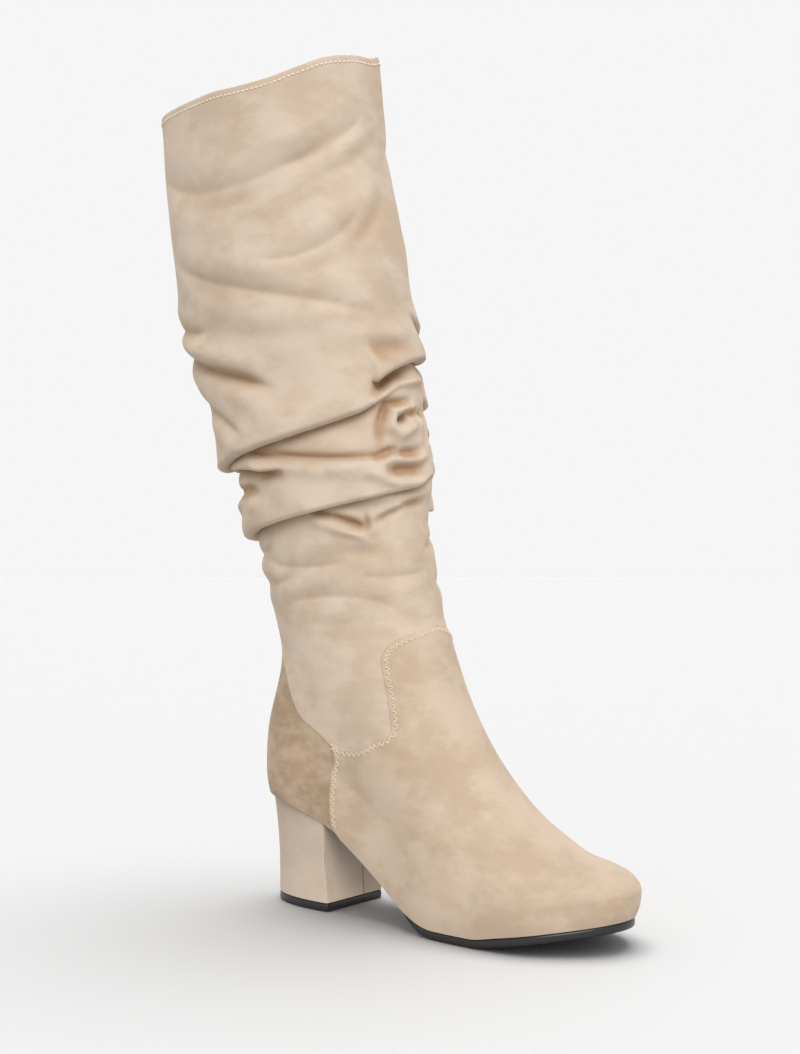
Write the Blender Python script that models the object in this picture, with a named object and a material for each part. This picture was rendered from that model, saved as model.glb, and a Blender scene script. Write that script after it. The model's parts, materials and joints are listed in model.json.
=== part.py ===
"""Slouch boot for the right foot: suede shaft in soft folds, block heel, thin dark sole, zip on the inner side.

Metres, +Z up, +X to the toe, +Y to the inner side of the foot, origin on the floor under the middle of the heel.
A place on the upper is named by its level (0 at the sole edge, 1 at the ankle, 2 at the collar) and by its angle
around the leg in degrees (0 at the front, 90 on the inner side, 180 at the back).
"""

import math

import bmesh
import bpy
import numpy as np

# Foot
FOOT_LENGTH = 0.234
HEEL_SET = 0.0315
BALL_WIDTH = 0.084
HEEL_HEIGHT = 0.0597
TOE_SPRING = 0.0115
WIDEST_ABOVE_SOLE = 0.0125

# Ankle and shaft
ANKLE_HEIGHT = 0.160
ANKLE_SET = 0.0288
ANKLE_DEPTH = 0.104
ANKLE_WIDTH = 0.076
ANKLE_TILT = 0.008
SHAFT_HEIGHT = 0.3005
SHAFT_DEPTH = 0.140
SHAFT_WIDTH = 0.104
COLLAR_TILT = 0.018
COLLAR_DIP = 0.011
LEAN_BACK = 0.0445
LEAN_OUT = 0.0258
FRONT_RIDGE = 0.003
FOLD_DEPTH = 0.010
WALL = 0.0022
OVERLAY_STEP = 0.0006

# Sole, heel and insole
SOLE_THICKNESS = 0.0045
WAIST_THICKNESS = 0.0025
SOLE_EDGE = 0.0006
WAIST_INSET = 0.0045
HEEL_LENGTH = 0.0510
HEEL_WIDTH = 0.0494
HEEL_INSET = 0.0010
LIFT_THICKNESS = 0.0045
INSOLE_THICKNESS = 0.0025
GAP = 0.0003
SEAT_GAP = 0.0006
FIT = 0.0008

# Zip
ZIP_TOP = 0.41
ZIP_WIDTH = 0.0085
ZIP_THICKNESS = 0.0014
ZIP_LIFT = 0.0005
SLIDER_LENGTH = 0.0125
SLIDER_WIDTH = 0.0080
SLIDER_THICKNESS = 0.0030
PULL_LENGTH = 0.0215
PULL_WIDTH = 0.0062
PULL_THICKNESS = 0.0011
PULL_NECK = 0.0046
BAIL_LENGTH = 0.0064
BAIL_WIDTH = 0.0018
BAIL_THICKNESS = 0.0009

COLUMNS = 44


def table(names, *rows):
    """A table with named columns."""
    return dict(zip(names.split(), np.array(rows, float).T))


# Underside of the sole: share of the heel height and share of the toe spring
SOLE_LINE = table(
    "along pitch spring",
    (0.00, 1.000, 0.00),
    (0.12, 0.920, 0.00),
    (0.24, 0.775, 0.00),
    (0.34, 0.510, 0.00),
    (0.40, 0.350, 0.00),
    (0.46, 0.190, 0.00),
    (0.52, 0.070, 0.00),
    (0.57, 0.012, 0.00),
    (0.60, 0.000, 0.00),
    (0.70, 0.000, 0.00),
    (0.78, 0.000, 0.26),
    (0.88, 0.000, 0.60),
    (1.00, 0.000, 1.00),
)

# Plan of the last: sideways shift and half widths, shares of the ball width
LAST = table(
    "along shift outer inner",
    (0.00, 0.000, 0.385, 0.385),
    (0.12, 0.000, 0.390, 0.390),
    (0.24, 0.000, 0.375, 0.370),
    (0.34, 0.000, 0.345, 0.325),
    (0.43, 0.000, 0.365, 0.325),
    (0.52, 0.000, 0.430, 0.380),
    (0.60, 0.000, 0.478, 0.455),
    (0.68, 0.000, 0.494, 0.496),
    (0.76, 0.008, 0.500, 0.490),
    (0.84, 0.026, 0.485, 0.462),
    (0.92, 0.050, 0.450, 0.430),
    (1.00, 0.060, 0.430, 0.410),
)

# Side view of the foot. Reach goes from the ankle line (0) to the toe or heel end (1), rise from the sole (0) to
# the ankle line (1)
PROFILE = table(
    "level front_reach front_rise back_reach back_rise",
    (0.00, 0.967, 0.000, 0.80, 0.00),
    (0.08, 0.996, 0.042, 0.91, 0.06),
    (0.16, 1.000, 0.086, 0.99, 0.13),
    (0.24, 0.975, 0.134, 1.00, 0.20),
    (0.32, 0.915, 0.168, 0.95, 0.29),
    (0.40, 0.835, 0.186, 0.84, 0.37),
    (0.50, 0.700, 0.236, 0.66, 0.47),
    (0.60, 0.540, 0.338, 0.38, 0.57),
    (0.70, 0.378, 0.460, 0.12, 0.67),
    (0.80, 0.245, 0.590, -0.14, 0.78),
    (0.90, 0.118, 0.765, -0.23, 0.89),
    (1.00, 0.000, 1.000, 0.00, 1.00),
)

# Shaft: depth and width from the ankle's (0) to the collar's (1), and the middle's drift off the straight lean
SHAFT = table(
    "height depth width drift",
    (0.00, 0.00, 0.00, 0.00),
    (0.15, 0.08, 0.19, 0.03),
    (0.22, 0.25, 0.45, 0.04),
    (0.30, 0.50, 0.68, 0.06),
    (0.42, 0.75, 0.85, 0.11),
    (0.52, 1.05, 1.10, 0.19),
    (0.65, 1.16, 1.16, 0.20),
    (0.80, 1.05, 1.04, 0.18),
    (0.93, 1.00, 1.00, 0.09),
    (1.00, 1.00, 1.00, 0.05),
)

# Seam of the vamp and counter with the shaft, from the front to the back of either side
SEAM = table(
    "turn level",
    (0, 0.990),
    (27, 0.978),
    (42, 0.965),
    (51, 0.945),
    (55, 0.870),
    (60, 0.805),
    (75, 0.758),
    (90, 0.700),
    (105, 0.650),
    (120, 0.640),
    (135, 0.820),
    (150, 0.935),
    (180, 0.955),
)

# Line of the zip: angle from the sole edge up
ZIP_LINE = table(
    "level angle",
    (0.00, 110),
    (0.50, 104),
    (1.00, 97),
    (1.50, 90),
)

# Folds: middle and half length round the leg in degrees, height and half thickness as shares of the shaft height,
# tilt as the rise over a quarter turn to the inner side, bow of the ends, depth and sag as shares of the fold depth
FOLDS = table(
    "angle reach height tilt bow thick depth sag",
    (-88, 78, 0.345, 0.045, 0.00, 0.040, 0.75, 0.55),
    (-62, 74, 0.294, 0.000, 0.02, 0.022, 0.40, 0.25),
    (-74, 84, 0.212, 0.042, 0.00, 0.036, 0.70, 0.50),
    (-42, 34, 0.160, 0.000, 0.04, 0.020, 0.30, 0.15),
    (-72, 66, 0.825, 0.000, 0.05, 0.050, 0.20, 0.10),
    (-68, 66, 0.600, -0.100, 0.00, 0.050, 0.25, 0.10),
    (-108, 44, 0.465, -0.120, 0.00, 0.040, 0.40, 0.30),
    (-8, 30, 0.425, 0.060, 0.00, 0.030, 0.35, 0.35),
    (0, 40, 0.320, 0.000, 0.00, 0.025, 0.50, 0.35),
    (40, 52, 0.530, 0.020, 0.00, 0.040, 0.50, 0.40),
    (46, 42, 0.385, 0.060, 0.00, 0.036, 0.65, 0.50),
    (42, 44, 0.272, 0.030, 0.00, 0.030, 0.45, 0.35),
    (22, 50, 0.188, 0.050, 0.00, 0.028, 0.40, 0.30),
    (126, 44, 0.455, -0.240, 0.00, 0.042, 0.65, 0.50),
    (146, 44, 0.330, -0.150, 0.00, 0.036, 0.50, 0.40),
    (150, 44, 0.200, -0.100, 0.00, 0.030, 0.40, 0.30),
    (178, 50, 0.110, 0.000, 0.00, 0.028, 0.35, 0.25),
)


def read(rows, column, at):
    """One column of a table between its rows, on a smooth curve that stays within them."""
    places = next(iter(rows.values()))
    values = rows[column]
    slopes = np.diff(values) / np.diff(places)
    product = slopes[1:] * slopes[:-1]
    inner = np.where(product > 0, 2 * product / np.where(product > 0, slopes[1:] + slopes[:-1], 1), 0)
    tangents = np.concatenate([slopes[:1], inner, slopes[-1:]])
    at = np.clip(at, places[0], places[-1])
    row = np.clip(np.searchsorted(places, at, side="right") - 1, 0, len(slopes) - 1)
    width = places[row + 1] - places[row]
    t = (at - places[row]) / width
    start, end = values[row], values[row + 1]
    bend = width * (tangents[row] * t * (1 - t) ** 2 - tangents[row + 1] * t**2 * (1 - t))
    return start + (end - start) * t * t * (3 - 2 * t) + bend


def ease(value, low, high):
    """0 below low, 1 above high, smooth between."""
    t = np.clip((value - low) / (high - low), 0, 1)
    return t * t * (3 - 2 * t)


def x_of(along):
    return FOOT_LENGTH * along - HEEL_SET


def along_of(x):
    return (x + HEEL_SET) / FOOT_LENGTH


def tread(along):
    """Height of the sole's underside over the floor."""
    return HEEL_HEIGHT * read(SOLE_LINE, "pitch", along) + TOE_SPRING * read(SOLE_LINE, "spring", along)


def sole_depth(along):
    return WAIST_THICKNESS + (SOLE_THICKNESS - WAIST_THICKNESS) * ease(along, 0.46, 0.56)


def seat(along):
    """Height of the upper's lower edge, and of what the foot stands on."""
    return tread(along) + SOLE_THICKNESS + SEAT_GAP


ANKLE_FRONT = np.array([ANKLE_SET + ANKLE_DEPTH / 2, ANKLE_HEIGHT + ANKLE_TILT / 2])
ANKLE_BACK = np.array([ANKLE_SET - ANKLE_DEPTH / 2, ANKLE_HEIGHT - ANKLE_TILT / 2])


def front_line(level):
    """Side view of the foot's front, from the toe up over the instep to the ankle: x and z."""
    x = ANKLE_FRONT[0] + (x_of(1) - ANKLE_FRONT[0]) * read(PROFILE, "front_reach", level)
    low = seat(along_of(x))
    return x, low + (ANKLE_FRONT[1] - low) * read(PROFILE, "front_rise", level)


def back_line(level):
    """Side view of the foot's back, from the heel seat up to the ankle: x and z."""
    x = ANKLE_BACK[0] + (x_of(0) - ANKLE_BACK[0]) * read(PROFILE, "back_reach", level)
    return x, seat(0) + (ANKLE_BACK[1] - seat(0)) * read(PROFILE, "back_rise", level)


def half_width(x, z, level, side):
    """Half width of the foot at a place of its side view, on the outer (-1) or inner (1) side."""
    along = along_of(x)
    width = BALL_WIDTH * np.where(side < 0, read(LAST, "outer", along), read(LAST, "inner", along))
    levels = np.linspace(0.16, 1, 60)
    ridge_x, ridge_z = front_line(levels)
    steep = (ridge_x[-1] - x) * 6
    ridge = np.where(x < ridge_x[-1], ridge_z[-1] + steep, np.interp(x, ridge_x[::-1], ridge_z[::-1]))
    widest = seat(along) + WIDEST_ABOVE_SOLE
    share = np.clip((z - widest) / np.maximum(ridge - widest, 1e-4), 0, 1)
    arch = (1 - share**2.1) ** 0.5
    under = np.clip((widest - z) / WIDEST_ABOVE_SOLE, 0, 1)
    tip = np.where(level < 0.16, front_line(level)[0], x_of(1))
    toe_start = x_of(0.78)
    toe = (1 - np.clip((x - toe_start) / (tip - toe_start), 0, 1) ** 2.3) ** 0.5
    heel_start = x_of(0.15)
    back = back_line(np.minimum(level, 1))[0]
    heel = (1 - np.clip((heel_start - x) / (heel_start - back), 0, 1) ** 2.2) ** 0.5
    return width * arch * (1 - 0.055 * under**2) * toe * heel


def foot_place(level, angle):
    """A place on the foot part of the upper, without folds."""
    turn = np.radians(angle)
    share = (1 + np.cos(turn)) / 2
    front = front_line(level)
    back = back_line(level)
    toe = front_line(0)
    heel = back_line(0)
    base_x = heel[0] + (toe[0] - heel[0]) * share
    sag = seat(along_of(base_x)) - heel[1] - (toe[1] - heel[1]) * share
    x = back[0] + (front[0] - back[0]) * share
    z = back[1] + (front[1] - back[1]) * share + (1 - level) * sag
    side = np.where(np.sin(turn) < 0, -1.0, 1.0)
    foot = half_width(x, z, level, side)
    leg = ANKLE_WIDTH / 2 * np.abs(np.sin(turn))
    foot = np.maximum(foot, leg / 2)
    blend = ease(level, 0.40, 1.0)
    y = BALL_WIDTH * read(LAST, "shift", along_of(x)) * (1 - blend) + side * (foot + (leg - foot) * blend)
    return np.stack([x, y, z], axis=-1)


def shaft_place(level, angle):
    """A place on the shaft, without folds."""
    turn = np.radians((angle + 180) % 360 - 180)
    height = level - 1
    depth = ANKLE_DEPTH + (SHAFT_DEPTH - ANKLE_DEPTH) * read(SHAFT, "depth", height)
    width = ANKLE_WIDTH + (SHAFT_WIDTH - ANKLE_WIDTH) * read(SHAFT, "width", height)
    tilt = ANKLE_TILT + (COLLAR_TILT - ANKLE_TILT) * height
    ridge = FRONT_RIDGE * np.exp(-((turn / 0.45) ** 2)) * ease(height, 0.1, 0.6)
    x = ANKLE_SET - LEAN_BACK * (height + read(SHAFT, "drift", height)) + depth / 2 * np.cos(turn) + ridge
    y = -LEAN_OUT * height + width / 2 * np.sin(turn)
    z = ANKLE_HEIGHT + SHAFT_HEIGHT * height + tilt / 2 * np.cos(turn)
    z = z - COLLAR_DIP * np.sin(turn) ** 2 * ease(height, 0.2, 1.0)
    return np.stack([x, y, z], axis=-1)


def base_place(level, angle):
    level, angle = np.broadcast_arrays(np.asarray(level, float), np.asarray(angle, float))
    foot = foot_place(np.minimum(level, 1), angle)
    shaft = shaft_place(np.maximum(level, 1), angle)
    return np.where((level <= 1)[..., None], foot, shaft)


def outward(level, angle):
    """Unit normals of the surface without folds."""
    step = 0.004
    up = base_place(np.minimum(level + step, 2), angle) - base_place(np.maximum(level - step, 0), angle)
    round_leg = base_place(level, angle + 0.5) - base_place(level, angle - 0.5)
    normal = np.cross(round_leg, up)
    return normal / np.linalg.norm(normal, axis=-1, keepdims=True)


def folds(level, angle):
    """How far the folds push a place outwards and how far they let it sag, in metres."""
    push = np.zeros(np.broadcast(level, angle).shape)
    drop = np.zeros_like(push)
    for row in zip(*FOLDS.values()):
        middle, reach, height, tilt, bow, thick, depth, sag = row
        away = (angle - middle + 180) % 360 - 180
        ends = 1 - ease(np.abs(away) / reach, 0.35, 1.0)
        line = height + tilt * away / 90 + bow * (away / reach) ** 2
        above = (level - 1 - line) / thick
        wave = above * np.exp((1 - above**2) / 2)
        push += depth * ends * wave
        drop += sag * ends * np.exp(-(((above - 0.7) / 0.8) ** 2))
    return FOLD_DEPTH * push, FOLD_DEPTH * drop


def overlay(level, angle):
    """Share of the overlay's step: 1 below the seam of the vamp and counter, 0 above it."""
    turn = np.abs((angle + 180) % 360 - 180)
    return ease(read(SEAM, "level", turn) - level, -0.004, 0.008)


def upper_place(level, angle):
    """A place on the outer face of the upper."""
    level, angle = np.broadcast_arrays(np.asarray(level, float), np.asarray(angle, float))
    push, drop = folds(level, angle)
    fade = ease(level, 0.55, 0.95)
    step = OVERLAY_STEP * overlay(level, angle)
    normal = outward(level, angle)
    place = base_place(level, angle) + normal * (push * fade + step)[..., None]
    place[..., 2] -= drop * fade
    return place


def clear_scene():
    for thing in list(bpy.data.objects):
        bpy.data.objects.remove(thing, do_unlink=True)


def material(name, colour, roughness, metallic=0.0):
    made = bpy.data.materials.new(name)
    made.use_nodes = True
    shader = made.node_tree.nodes["Principled BSDF"]
    shader.inputs["Base Color"].default_value = (*colour, 1)
    shader.inputs["Roughness"].default_value = roughness
    shader.inputs["Metallic"].default_value = metallic
    return made


def add_mesh(name, points, faces, finish, origin=(0, 0, 0)):
    """An object with its faces turned outwards and its origin at the given place."""
    mesh = bpy.data.meshes.new(name)
    shape = bmesh.new()
    corners = [shape.verts.new(np.subtract(point, origin)) for point in points]
    for face in faces:
        shape.faces.new([corners[corner] for corner in face])
    bmesh.ops.recalc_face_normals(shape, faces=shape.faces)
    shape.to_mesh(mesh)
    shape.free()
    mesh.materials.append(finish)
    thing = bpy.data.objects.new(name, mesh)
    thing.location = origin
    bpy.context.collection.objects.link(thing)
    return thing


def shell_faces(rings, columns):
    """Faces of a pipe with a wall: the outer rings come first, then the same number of inner rings."""
    faces = []
    for column in range(columns):
        after = (column + 1) % columns
        for ring in range(rings - 1):
            low, high = ring * columns, (ring + 1) * columns
            faces.append((low + column, low + after, high + after, high + column))
            low, high = low + rings * columns, high + rings * columns
            faces.append((low + column, high + column, high + after, low + after))
        for ring in (0, rings - 1):
            outer, inner = ring * columns, (ring + rings) * columns
            faces.append((outer + column, outer + after, inner + after, inner + column))
    return faces


def grid_normals(grid):
    """Unit normals of a closed ring grid at its own points."""
    round_leg = np.roll(grid, -1, axis=1) - np.roll(grid, 1, axis=1)
    up = np.gradient(grid, axis=0)
    normal = np.cross(round_leg, up)
    return normal / np.linalg.norm(normal, axis=-1, keepdims=True)


LEVELS = np.concatenate(
    [
        np.linspace(0.00, 0.30, 8)[:-1],
        np.linspace(0.30, 1.00, 12)[:-1],
        np.linspace(1.00, 1.10, 4)[:-1],
        np.linspace(1.10, 1.58, 27)[:-1],
        np.linspace(1.58, 2.00, 9),
    ]
)
ANGLES = np.linspace(0, 360, COLUMNS, endpoint=False)


def outer_grid():
    return upper_place(LEVELS[:, None], ANGLES[None, :])


def build_upper(finish):
    outer = outer_grid()
    inner = outer - WALL * grid_normals(outer)
    inner[0, :, 2] = seat(along_of(inner[0, :, 0]))
    points = np.concatenate([outer.reshape(-1, 3), inner.reshape(-1, 3)])
    return add_mesh("upper", points, shell_faces(len(LEVELS), COLUMNS), finish)


def slab(name, layers, finish):
    """A solid from layers of stations, each station being x, its lower y, its higher y and z. A station whose two
    y are the same is a tip."""
    points, rows = [], []
    for layer in layers:
        row = []
        for x, low, high, z in layer:
            ends = [(x, low, z)] if math.isclose(low, high, abs_tol=1e-7) else [(x, low, z), (x, high, z)]
            row.append((len(points), len(points) + len(ends) - 1))
            points.extend(ends)
        rows.append(row)
    faces = []
    for row in (rows[0], rows[-1]):
        for here, there in zip(row, row[1:]):
            faces.append(tuple(dict.fromkeys((here[0], here[1], there[1], there[0]))))
    for below, above in zip(rows, rows[1:]):
        for side in (0, 1):
            for station in range(len(below) - 1):
                here, there = below[station][side], below[station + 1][side]
                faces.append((here, there, above[station + 1][side], above[station][side]))
        for station in (0, -1):
            if below[station][0] != below[station][1]:
                faces.append((*below[station], *reversed(above[station])))
    return add_mesh(name, points, faces, finish)


def edge_of(x, along_shift=0.0):
    """Lower and higher y of the last's outline at the upper's lower edge."""
    along = along_of(x)
    middle = BALL_WIDTH * read(LAST, "shift", along)
    outer = half_width(x, seat(along), 0.0, -1)
    inner = half_width(x, seat(along), 0.0, 1)
    return middle - outer, middle + inner


def build_outsole(finish):
    start = HEEL_LENGTH / 2 + GAP
    tip = front_line(0)[0]
    share = np.sin(np.linspace(0, math.pi / 2, 42))
    inside = start + (tip - start) * share
    x = start + (tip + SOLE_EDGE - start) * share
    low, high = edge_of(inside)
    along = along_of(x)
    inset = WAIST_INSET * (1 - ease(along, 0.42, 0.58)) - SOLE_EDGE
    taper = np.sqrt(1 - share**2)
    low, high = low + inset * taper, high - inset * taper
    low[-1] = high[-1] = (low[-1] + high[-1]) / 2
    top = seat(along) - SEAT_GAP
    layers = [np.stack([x, low, high, z], axis=-1) for z in (top - sole_depth(along), top)]
    return slab("outsole", layers, finish)


def heel_outline(x_rear, half, stations=12):
    """Stations of a heel piece, from its flat front to its round back."""
    share = np.sin(np.linspace(0, math.pi / 2, stations))
    front = HEEL_LENGTH / 2
    x = front + (x_rear - front) * share
    width = half * (1 - share**2.6) ** 0.45
    width[-1] = 0
    return x, width


def build_heel(finish):
    bottom = LIFT_THICKNESS + GAP
    rear_top = back_line(0)[0] + HEEL_INSET
    half_top = float(edge_of(HEEL_LENGTH / 2)[1]) - HEEL_INSET
    layers = []
    for height in np.linspace(0, 1, 5):
        x, width = heel_outline(
            -HEEL_LENGTH / 2 * (1 - height) + rear_top * height, HEEL_WIDTH / 2 * (1 - height) + half_top * height
        )
        z = bottom + (seat(along_of(x)) - SEAT_GAP - bottom) * height
        layers.append(np.stack([x, -width, width, z], axis=-1))
    return slab("heel", layers, finish)


def build_lift(finish):
    x, width = heel_outline(-HEEL_LENGTH / 2, HEEL_WIDTH / 2)
    layers = [np.stack([x, -width, width, np.full(len(x), z)], axis=-1) for z in (0, LIFT_THICKNESS)]
    return slab("heel_lift", layers, finish)


def build_insole(finish):
    clear = WALL + FIT
    rear, tip = back_line(0)[0] + clear, front_line(0)[0] - clear
    share = (1 - np.cos(np.linspace(0, math.pi, 48))) / 2
    x = rear + (tip - rear) * share
    low, high = edge_of(x)
    ends = np.sqrt(np.clip(1 - (2 * share - 1) ** 8, 0, 1))
    low, high = (low + clear) * ends, (high - clear) * ends
    low[0] = high[0] = 0
    low[-1] = high[-1] = (low[-2] + high[-2]) / 2
    layers = [np.stack([x, low, high, seat(along_of(x)) + z], axis=-1) for z in (0, INSOLE_THICKNESS)]
    return slab("insole", layers, finish)


def zip_frame(grid, normals, ring):
    """Middle of the zip on a ring of the upper's outer face, with its outward and sideways directions."""
    column = read(ZIP_LINE, "angle", LEVELS[ring]) / 360 * COLUMNS
    first = int(column)
    share = column - first
    middle = grid[ring, first] * (1 - share) + grid[ring, first + 1] * share
    out = normals[ring, first] * (1 - share) + normals[ring, first + 1] * share
    side = grid[ring, first + 1] - grid[ring, first]
    return middle, out / np.linalg.norm(out), side / np.linalg.norm(side)


def build_zip_chain(finish):
    grid = outer_grid()
    normals = grid_normals(grid)
    rings = [ring for ring in range(1, len(LEVELS)) if LEVELS[ring] <= 1 + ZIP_TOP]
    points, faces = [], []
    for ring in rings:
        middle, out, side = zip_frame(grid, normals, ring)
        base = middle + out * ZIP_LIFT
        for across, up in ((-1, 0), (1, 0), (1, 1), (-1, 1)):
            points.append(base + side * across * ZIP_WIDTH / 2 + out * up * ZIP_THICKNESS)
    for row in range(len(rings) - 1):
        for corner in range(4):
            after = (corner + 1) % 4
            faces.append((row * 4 + corner, row * 4 + after, row * 4 + 4 + after, row * 4 + 4 + corner))
    last = len(points) - 4
    faces += [(0, 1, 2, 3), (last, last + 1, last + 2, last + 3)]
    return add_mesh("zip_chain", points, faces, finish)


def slider_axes():
    """Middle of the slider's underside, then its sideways, upward and outward directions."""
    grid = outer_grid()
    normals = grid_normals(grid)
    ring = max(ring for ring in range(len(LEVELS)) if LEVELS[ring] <= 1 + ZIP_TOP)
    middle, out, side = zip_frame(grid, normals, ring - 1)
    upper_middle = zip_frame(grid, normals, ring)[0]
    up = upper_middle - middle
    up = up - out * up.dot(out)
    up = up / np.linalg.norm(up)
    side = np.cross(up, out)
    base = (middle + upper_middle) / 2 + out * (ZIP_LIFT + ZIP_THICKNESS + FIT)
    return base, side, up, out


def box_between(name, low, high, axes, finish):
    """A box given by its low and high corners along the slider's own axes."""
    base, side, up, out = axes
    corners = [
        base + side * s + up * u + out * o for o in (low[2], high[2]) for u in (low[1], high[1]) for s in (low[0], high[0])
    ]
    faces = [(0, 1, 3, 2), (4, 5, 7, 6), (0, 1, 5, 4), (2, 3, 7, 6), (0, 2, 6, 4), (1, 3, 7, 5)]
    return add_mesh(name, corners, faces, finish)


def build_slider(axes, finish):
    """The slider's body with the bail that holds the pull."""
    half_wide, half_long = SLIDER_WIDTH / 2, SLIDER_LENGTH / 2
    body = box_between(
        "zip_slider", (-half_wide, -half_long, 0), (half_wide, half_long, SLIDER_THICKNESS), axes, finish
    )
    under = SLIDER_THICKNESS + 2 * GAP + PULL_THICKNESS
    top = under + BAIL_THICKNESS / 2
    root = SLIDER_THICKNESS / 2
    bars = (
        ((-BAIL_WIDTH / 2, -BAIL_LENGTH / 2, root), (BAIL_WIDTH / 2, -BAIL_LENGTH / 2 + BAIL_THICKNESS, top)),
        ((-BAIL_WIDTH / 2, BAIL_LENGTH / 2 - BAIL_THICKNESS, root), (BAIL_WIDTH / 2, BAIL_LENGTH / 2, top)),
        (
            (-BAIL_WIDTH / 2 - GAP / 2, -BAIL_LENGTH / 2 - GAP / 2, under),
            (BAIL_WIDTH / 2 + GAP / 2, BAIL_LENGTH / 2 + GAP / 2, under + BAIL_THICKNESS),
        ),
    )
    for number, (low, high) in enumerate(bars):
        bar = box_between(f"bail_{number}", low, high, axes, finish)
        bar.hide_render = True
        join = body.modifiers.new(f"bail_{number}", "BOOLEAN")
        join.operation = "UNION"
        join.solver = "EXACT"
        join.object = bar
    return body


def build_pull(axes, finish):
    """The pull: a flat tab with an eye round the bail, its origin on the hinge."""
    base, side, up, out = axes
    hinge = base + out * (SLIDER_THICKNESS + GAP + PULL_THICKNESS / 2)
    bar = PULL_THICKNESS / 2
    hole_half = BAIL_WIDTH / 2 + GAP + 0.0004
    hole_end = BAIL_LENGTH / 2 + 0.0012
    count = 28
    middle = np.array([0, -(hole_end - bar) / 2 - bar])
    inner, outer = [], []
    for turn in np.linspace(0, 2 * math.pi, count, endpoint=False):
        way = np.array([math.sin(turn), math.cos(turn)])
        hole = np.array([hole_half, (hole_end - bar) / 2])
        inner.append(middle + way * np.min(hole / np.maximum(np.abs(way), 1e-9)))
        neck = PULL_NECK / 2 + (PULL_WIDTH / 2 - PULL_NECK / 2) * ease(-way[1], 0.6, 0.95)
        reach = (bar - middle[1]) if way[1] > 0 else (PULL_LENGTH + middle[1])
        outer.append(middle + way * min(neck / max(abs(way[0]), 1e-9), reach / max(abs(way[1]), 1e-9)))
    points, faces = [], []
    for across in (-PULL_THICKNESS / 2, PULL_THICKNESS / 2):
        for place in inner + outer:
            points.append(hinge + side * place[0] + up * place[1] + out * across)
    for corner in range(count):
        after = (corner + 1) % count
        for low in (0, 2 * count):
            faces.append((low + corner, low + after, low + count + after, low + count + corner))
        for ring in (0, count):
            faces.append((ring + corner, ring + after, ring + 2 * count + after, ring + 2 * count + corner))
    return add_mesh("zip_pull", points, faces, finish, origin=hinge)


def main():
    clear_scene()
    suede = material("suede", (0.66, 0.54, 0.42), 0.95)
    rubber = material("sole_rubber", (0.02, 0.017, 0.016), 0.45)
    lining = material("insole_fabric", (0.55, 0.45, 0.35), 0.9)
    tape = material("zip_tape", (0.50, 0.40, 0.30), 0.8)
    metal = material("zip_metal", (0.50, 0.38, 0.22), 0.35, 1.0)
    build_upper(suede)
    build_insole(lining)
    build_outsole(rubber)
    build_heel(suede)
    build_lift(rubber)
    build_zip_chain(tape)
    axes = slider_axes()
    build_slider(axes, metal)
    build_pull(axes, metal)


main()
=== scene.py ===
"""Looks of the slouch boot: suede panels in folds, seams and stitches, zip, block heel and dark sole.

Places on the upper are named as in the part: level 0 at the sole edge, 1 at the ankle, 2 at the collar, and
the angle round the leg in degrees, 0 at the front and 90 on the inner side. Lengths are metres, +Z up.
"""

import json
import math

import bmesh
import bpy
import numpy as np
from mathutils import Matrix, Vector


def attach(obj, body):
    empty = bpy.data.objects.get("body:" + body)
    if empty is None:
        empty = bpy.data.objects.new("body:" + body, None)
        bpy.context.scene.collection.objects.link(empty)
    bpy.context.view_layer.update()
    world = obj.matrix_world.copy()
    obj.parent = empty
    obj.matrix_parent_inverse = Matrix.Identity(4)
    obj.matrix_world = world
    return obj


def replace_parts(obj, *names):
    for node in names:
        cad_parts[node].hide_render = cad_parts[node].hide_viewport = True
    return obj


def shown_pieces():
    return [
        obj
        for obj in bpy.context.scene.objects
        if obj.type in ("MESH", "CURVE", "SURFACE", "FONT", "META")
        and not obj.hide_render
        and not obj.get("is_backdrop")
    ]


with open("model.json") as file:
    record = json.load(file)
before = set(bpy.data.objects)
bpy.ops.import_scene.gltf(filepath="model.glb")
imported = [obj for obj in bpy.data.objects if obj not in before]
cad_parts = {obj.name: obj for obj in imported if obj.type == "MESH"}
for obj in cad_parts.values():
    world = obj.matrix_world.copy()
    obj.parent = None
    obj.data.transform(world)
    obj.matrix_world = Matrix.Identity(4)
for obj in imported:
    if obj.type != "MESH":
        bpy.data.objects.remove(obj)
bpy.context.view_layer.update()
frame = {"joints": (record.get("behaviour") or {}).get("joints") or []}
DETAIL = 1.0

# Sizes shared with the part
FOOT_LENGTH = 0.234
HEEL_SET = 0.0315
BALL_WIDTH = 0.084
HEEL_HEIGHT = 0.0597
TOE_SPRING = 0.0115
WIDEST_ABOVE_SOLE = 0.0125
ANKLE_HEIGHT = 0.160
ANKLE_SET = 0.0288
ANKLE_DEPTH = 0.104
ANKLE_WIDTH = 0.076
ANKLE_TILT = 0.008
SHAFT_HEIGHT = 0.3005
SHAFT_DEPTH = 0.140
SHAFT_WIDTH = 0.104
COLLAR_TILT = 0.018
COLLAR_DIP = 0.011
LEAN_BACK = 0.0445
LEAN_OUT = 0.0258
FRONT_RIDGE = 0.003
WALL = 0.0022
SOLE_THICKNESS = 0.0045
WAIST_THICKNESS = 0.0025
SOLE_EDGE = 0.0006
WAIST_INSET = 0.0045
HEEL_LENGTH = 0.0510
HEEL_WIDTH = 0.0494
HEEL_INSET = 0.0010
GAP = 0.0003
LIFT_THICKNESS = 0.0045
INSOLE_THICKNESS = 0.0025
SEAT_GAP = 0.0006
ZIP_TOP = 0.41
SLIDER_LENGTH = 0.0125
SLIDER_WIDTH = 0.0080
SLIDER_THICKNESS = 0.0030
PULL_LENGTH = 0.0215
PULL_WIDTH = 0.0062
PULL_THICKNESS = 0.0011
PULL_NECK = 0.0046
BAIL_LENGTH = 0.0064
BAIL_WIDTH = 0.0018
BAIL_THICKNESS = 0.0009

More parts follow.
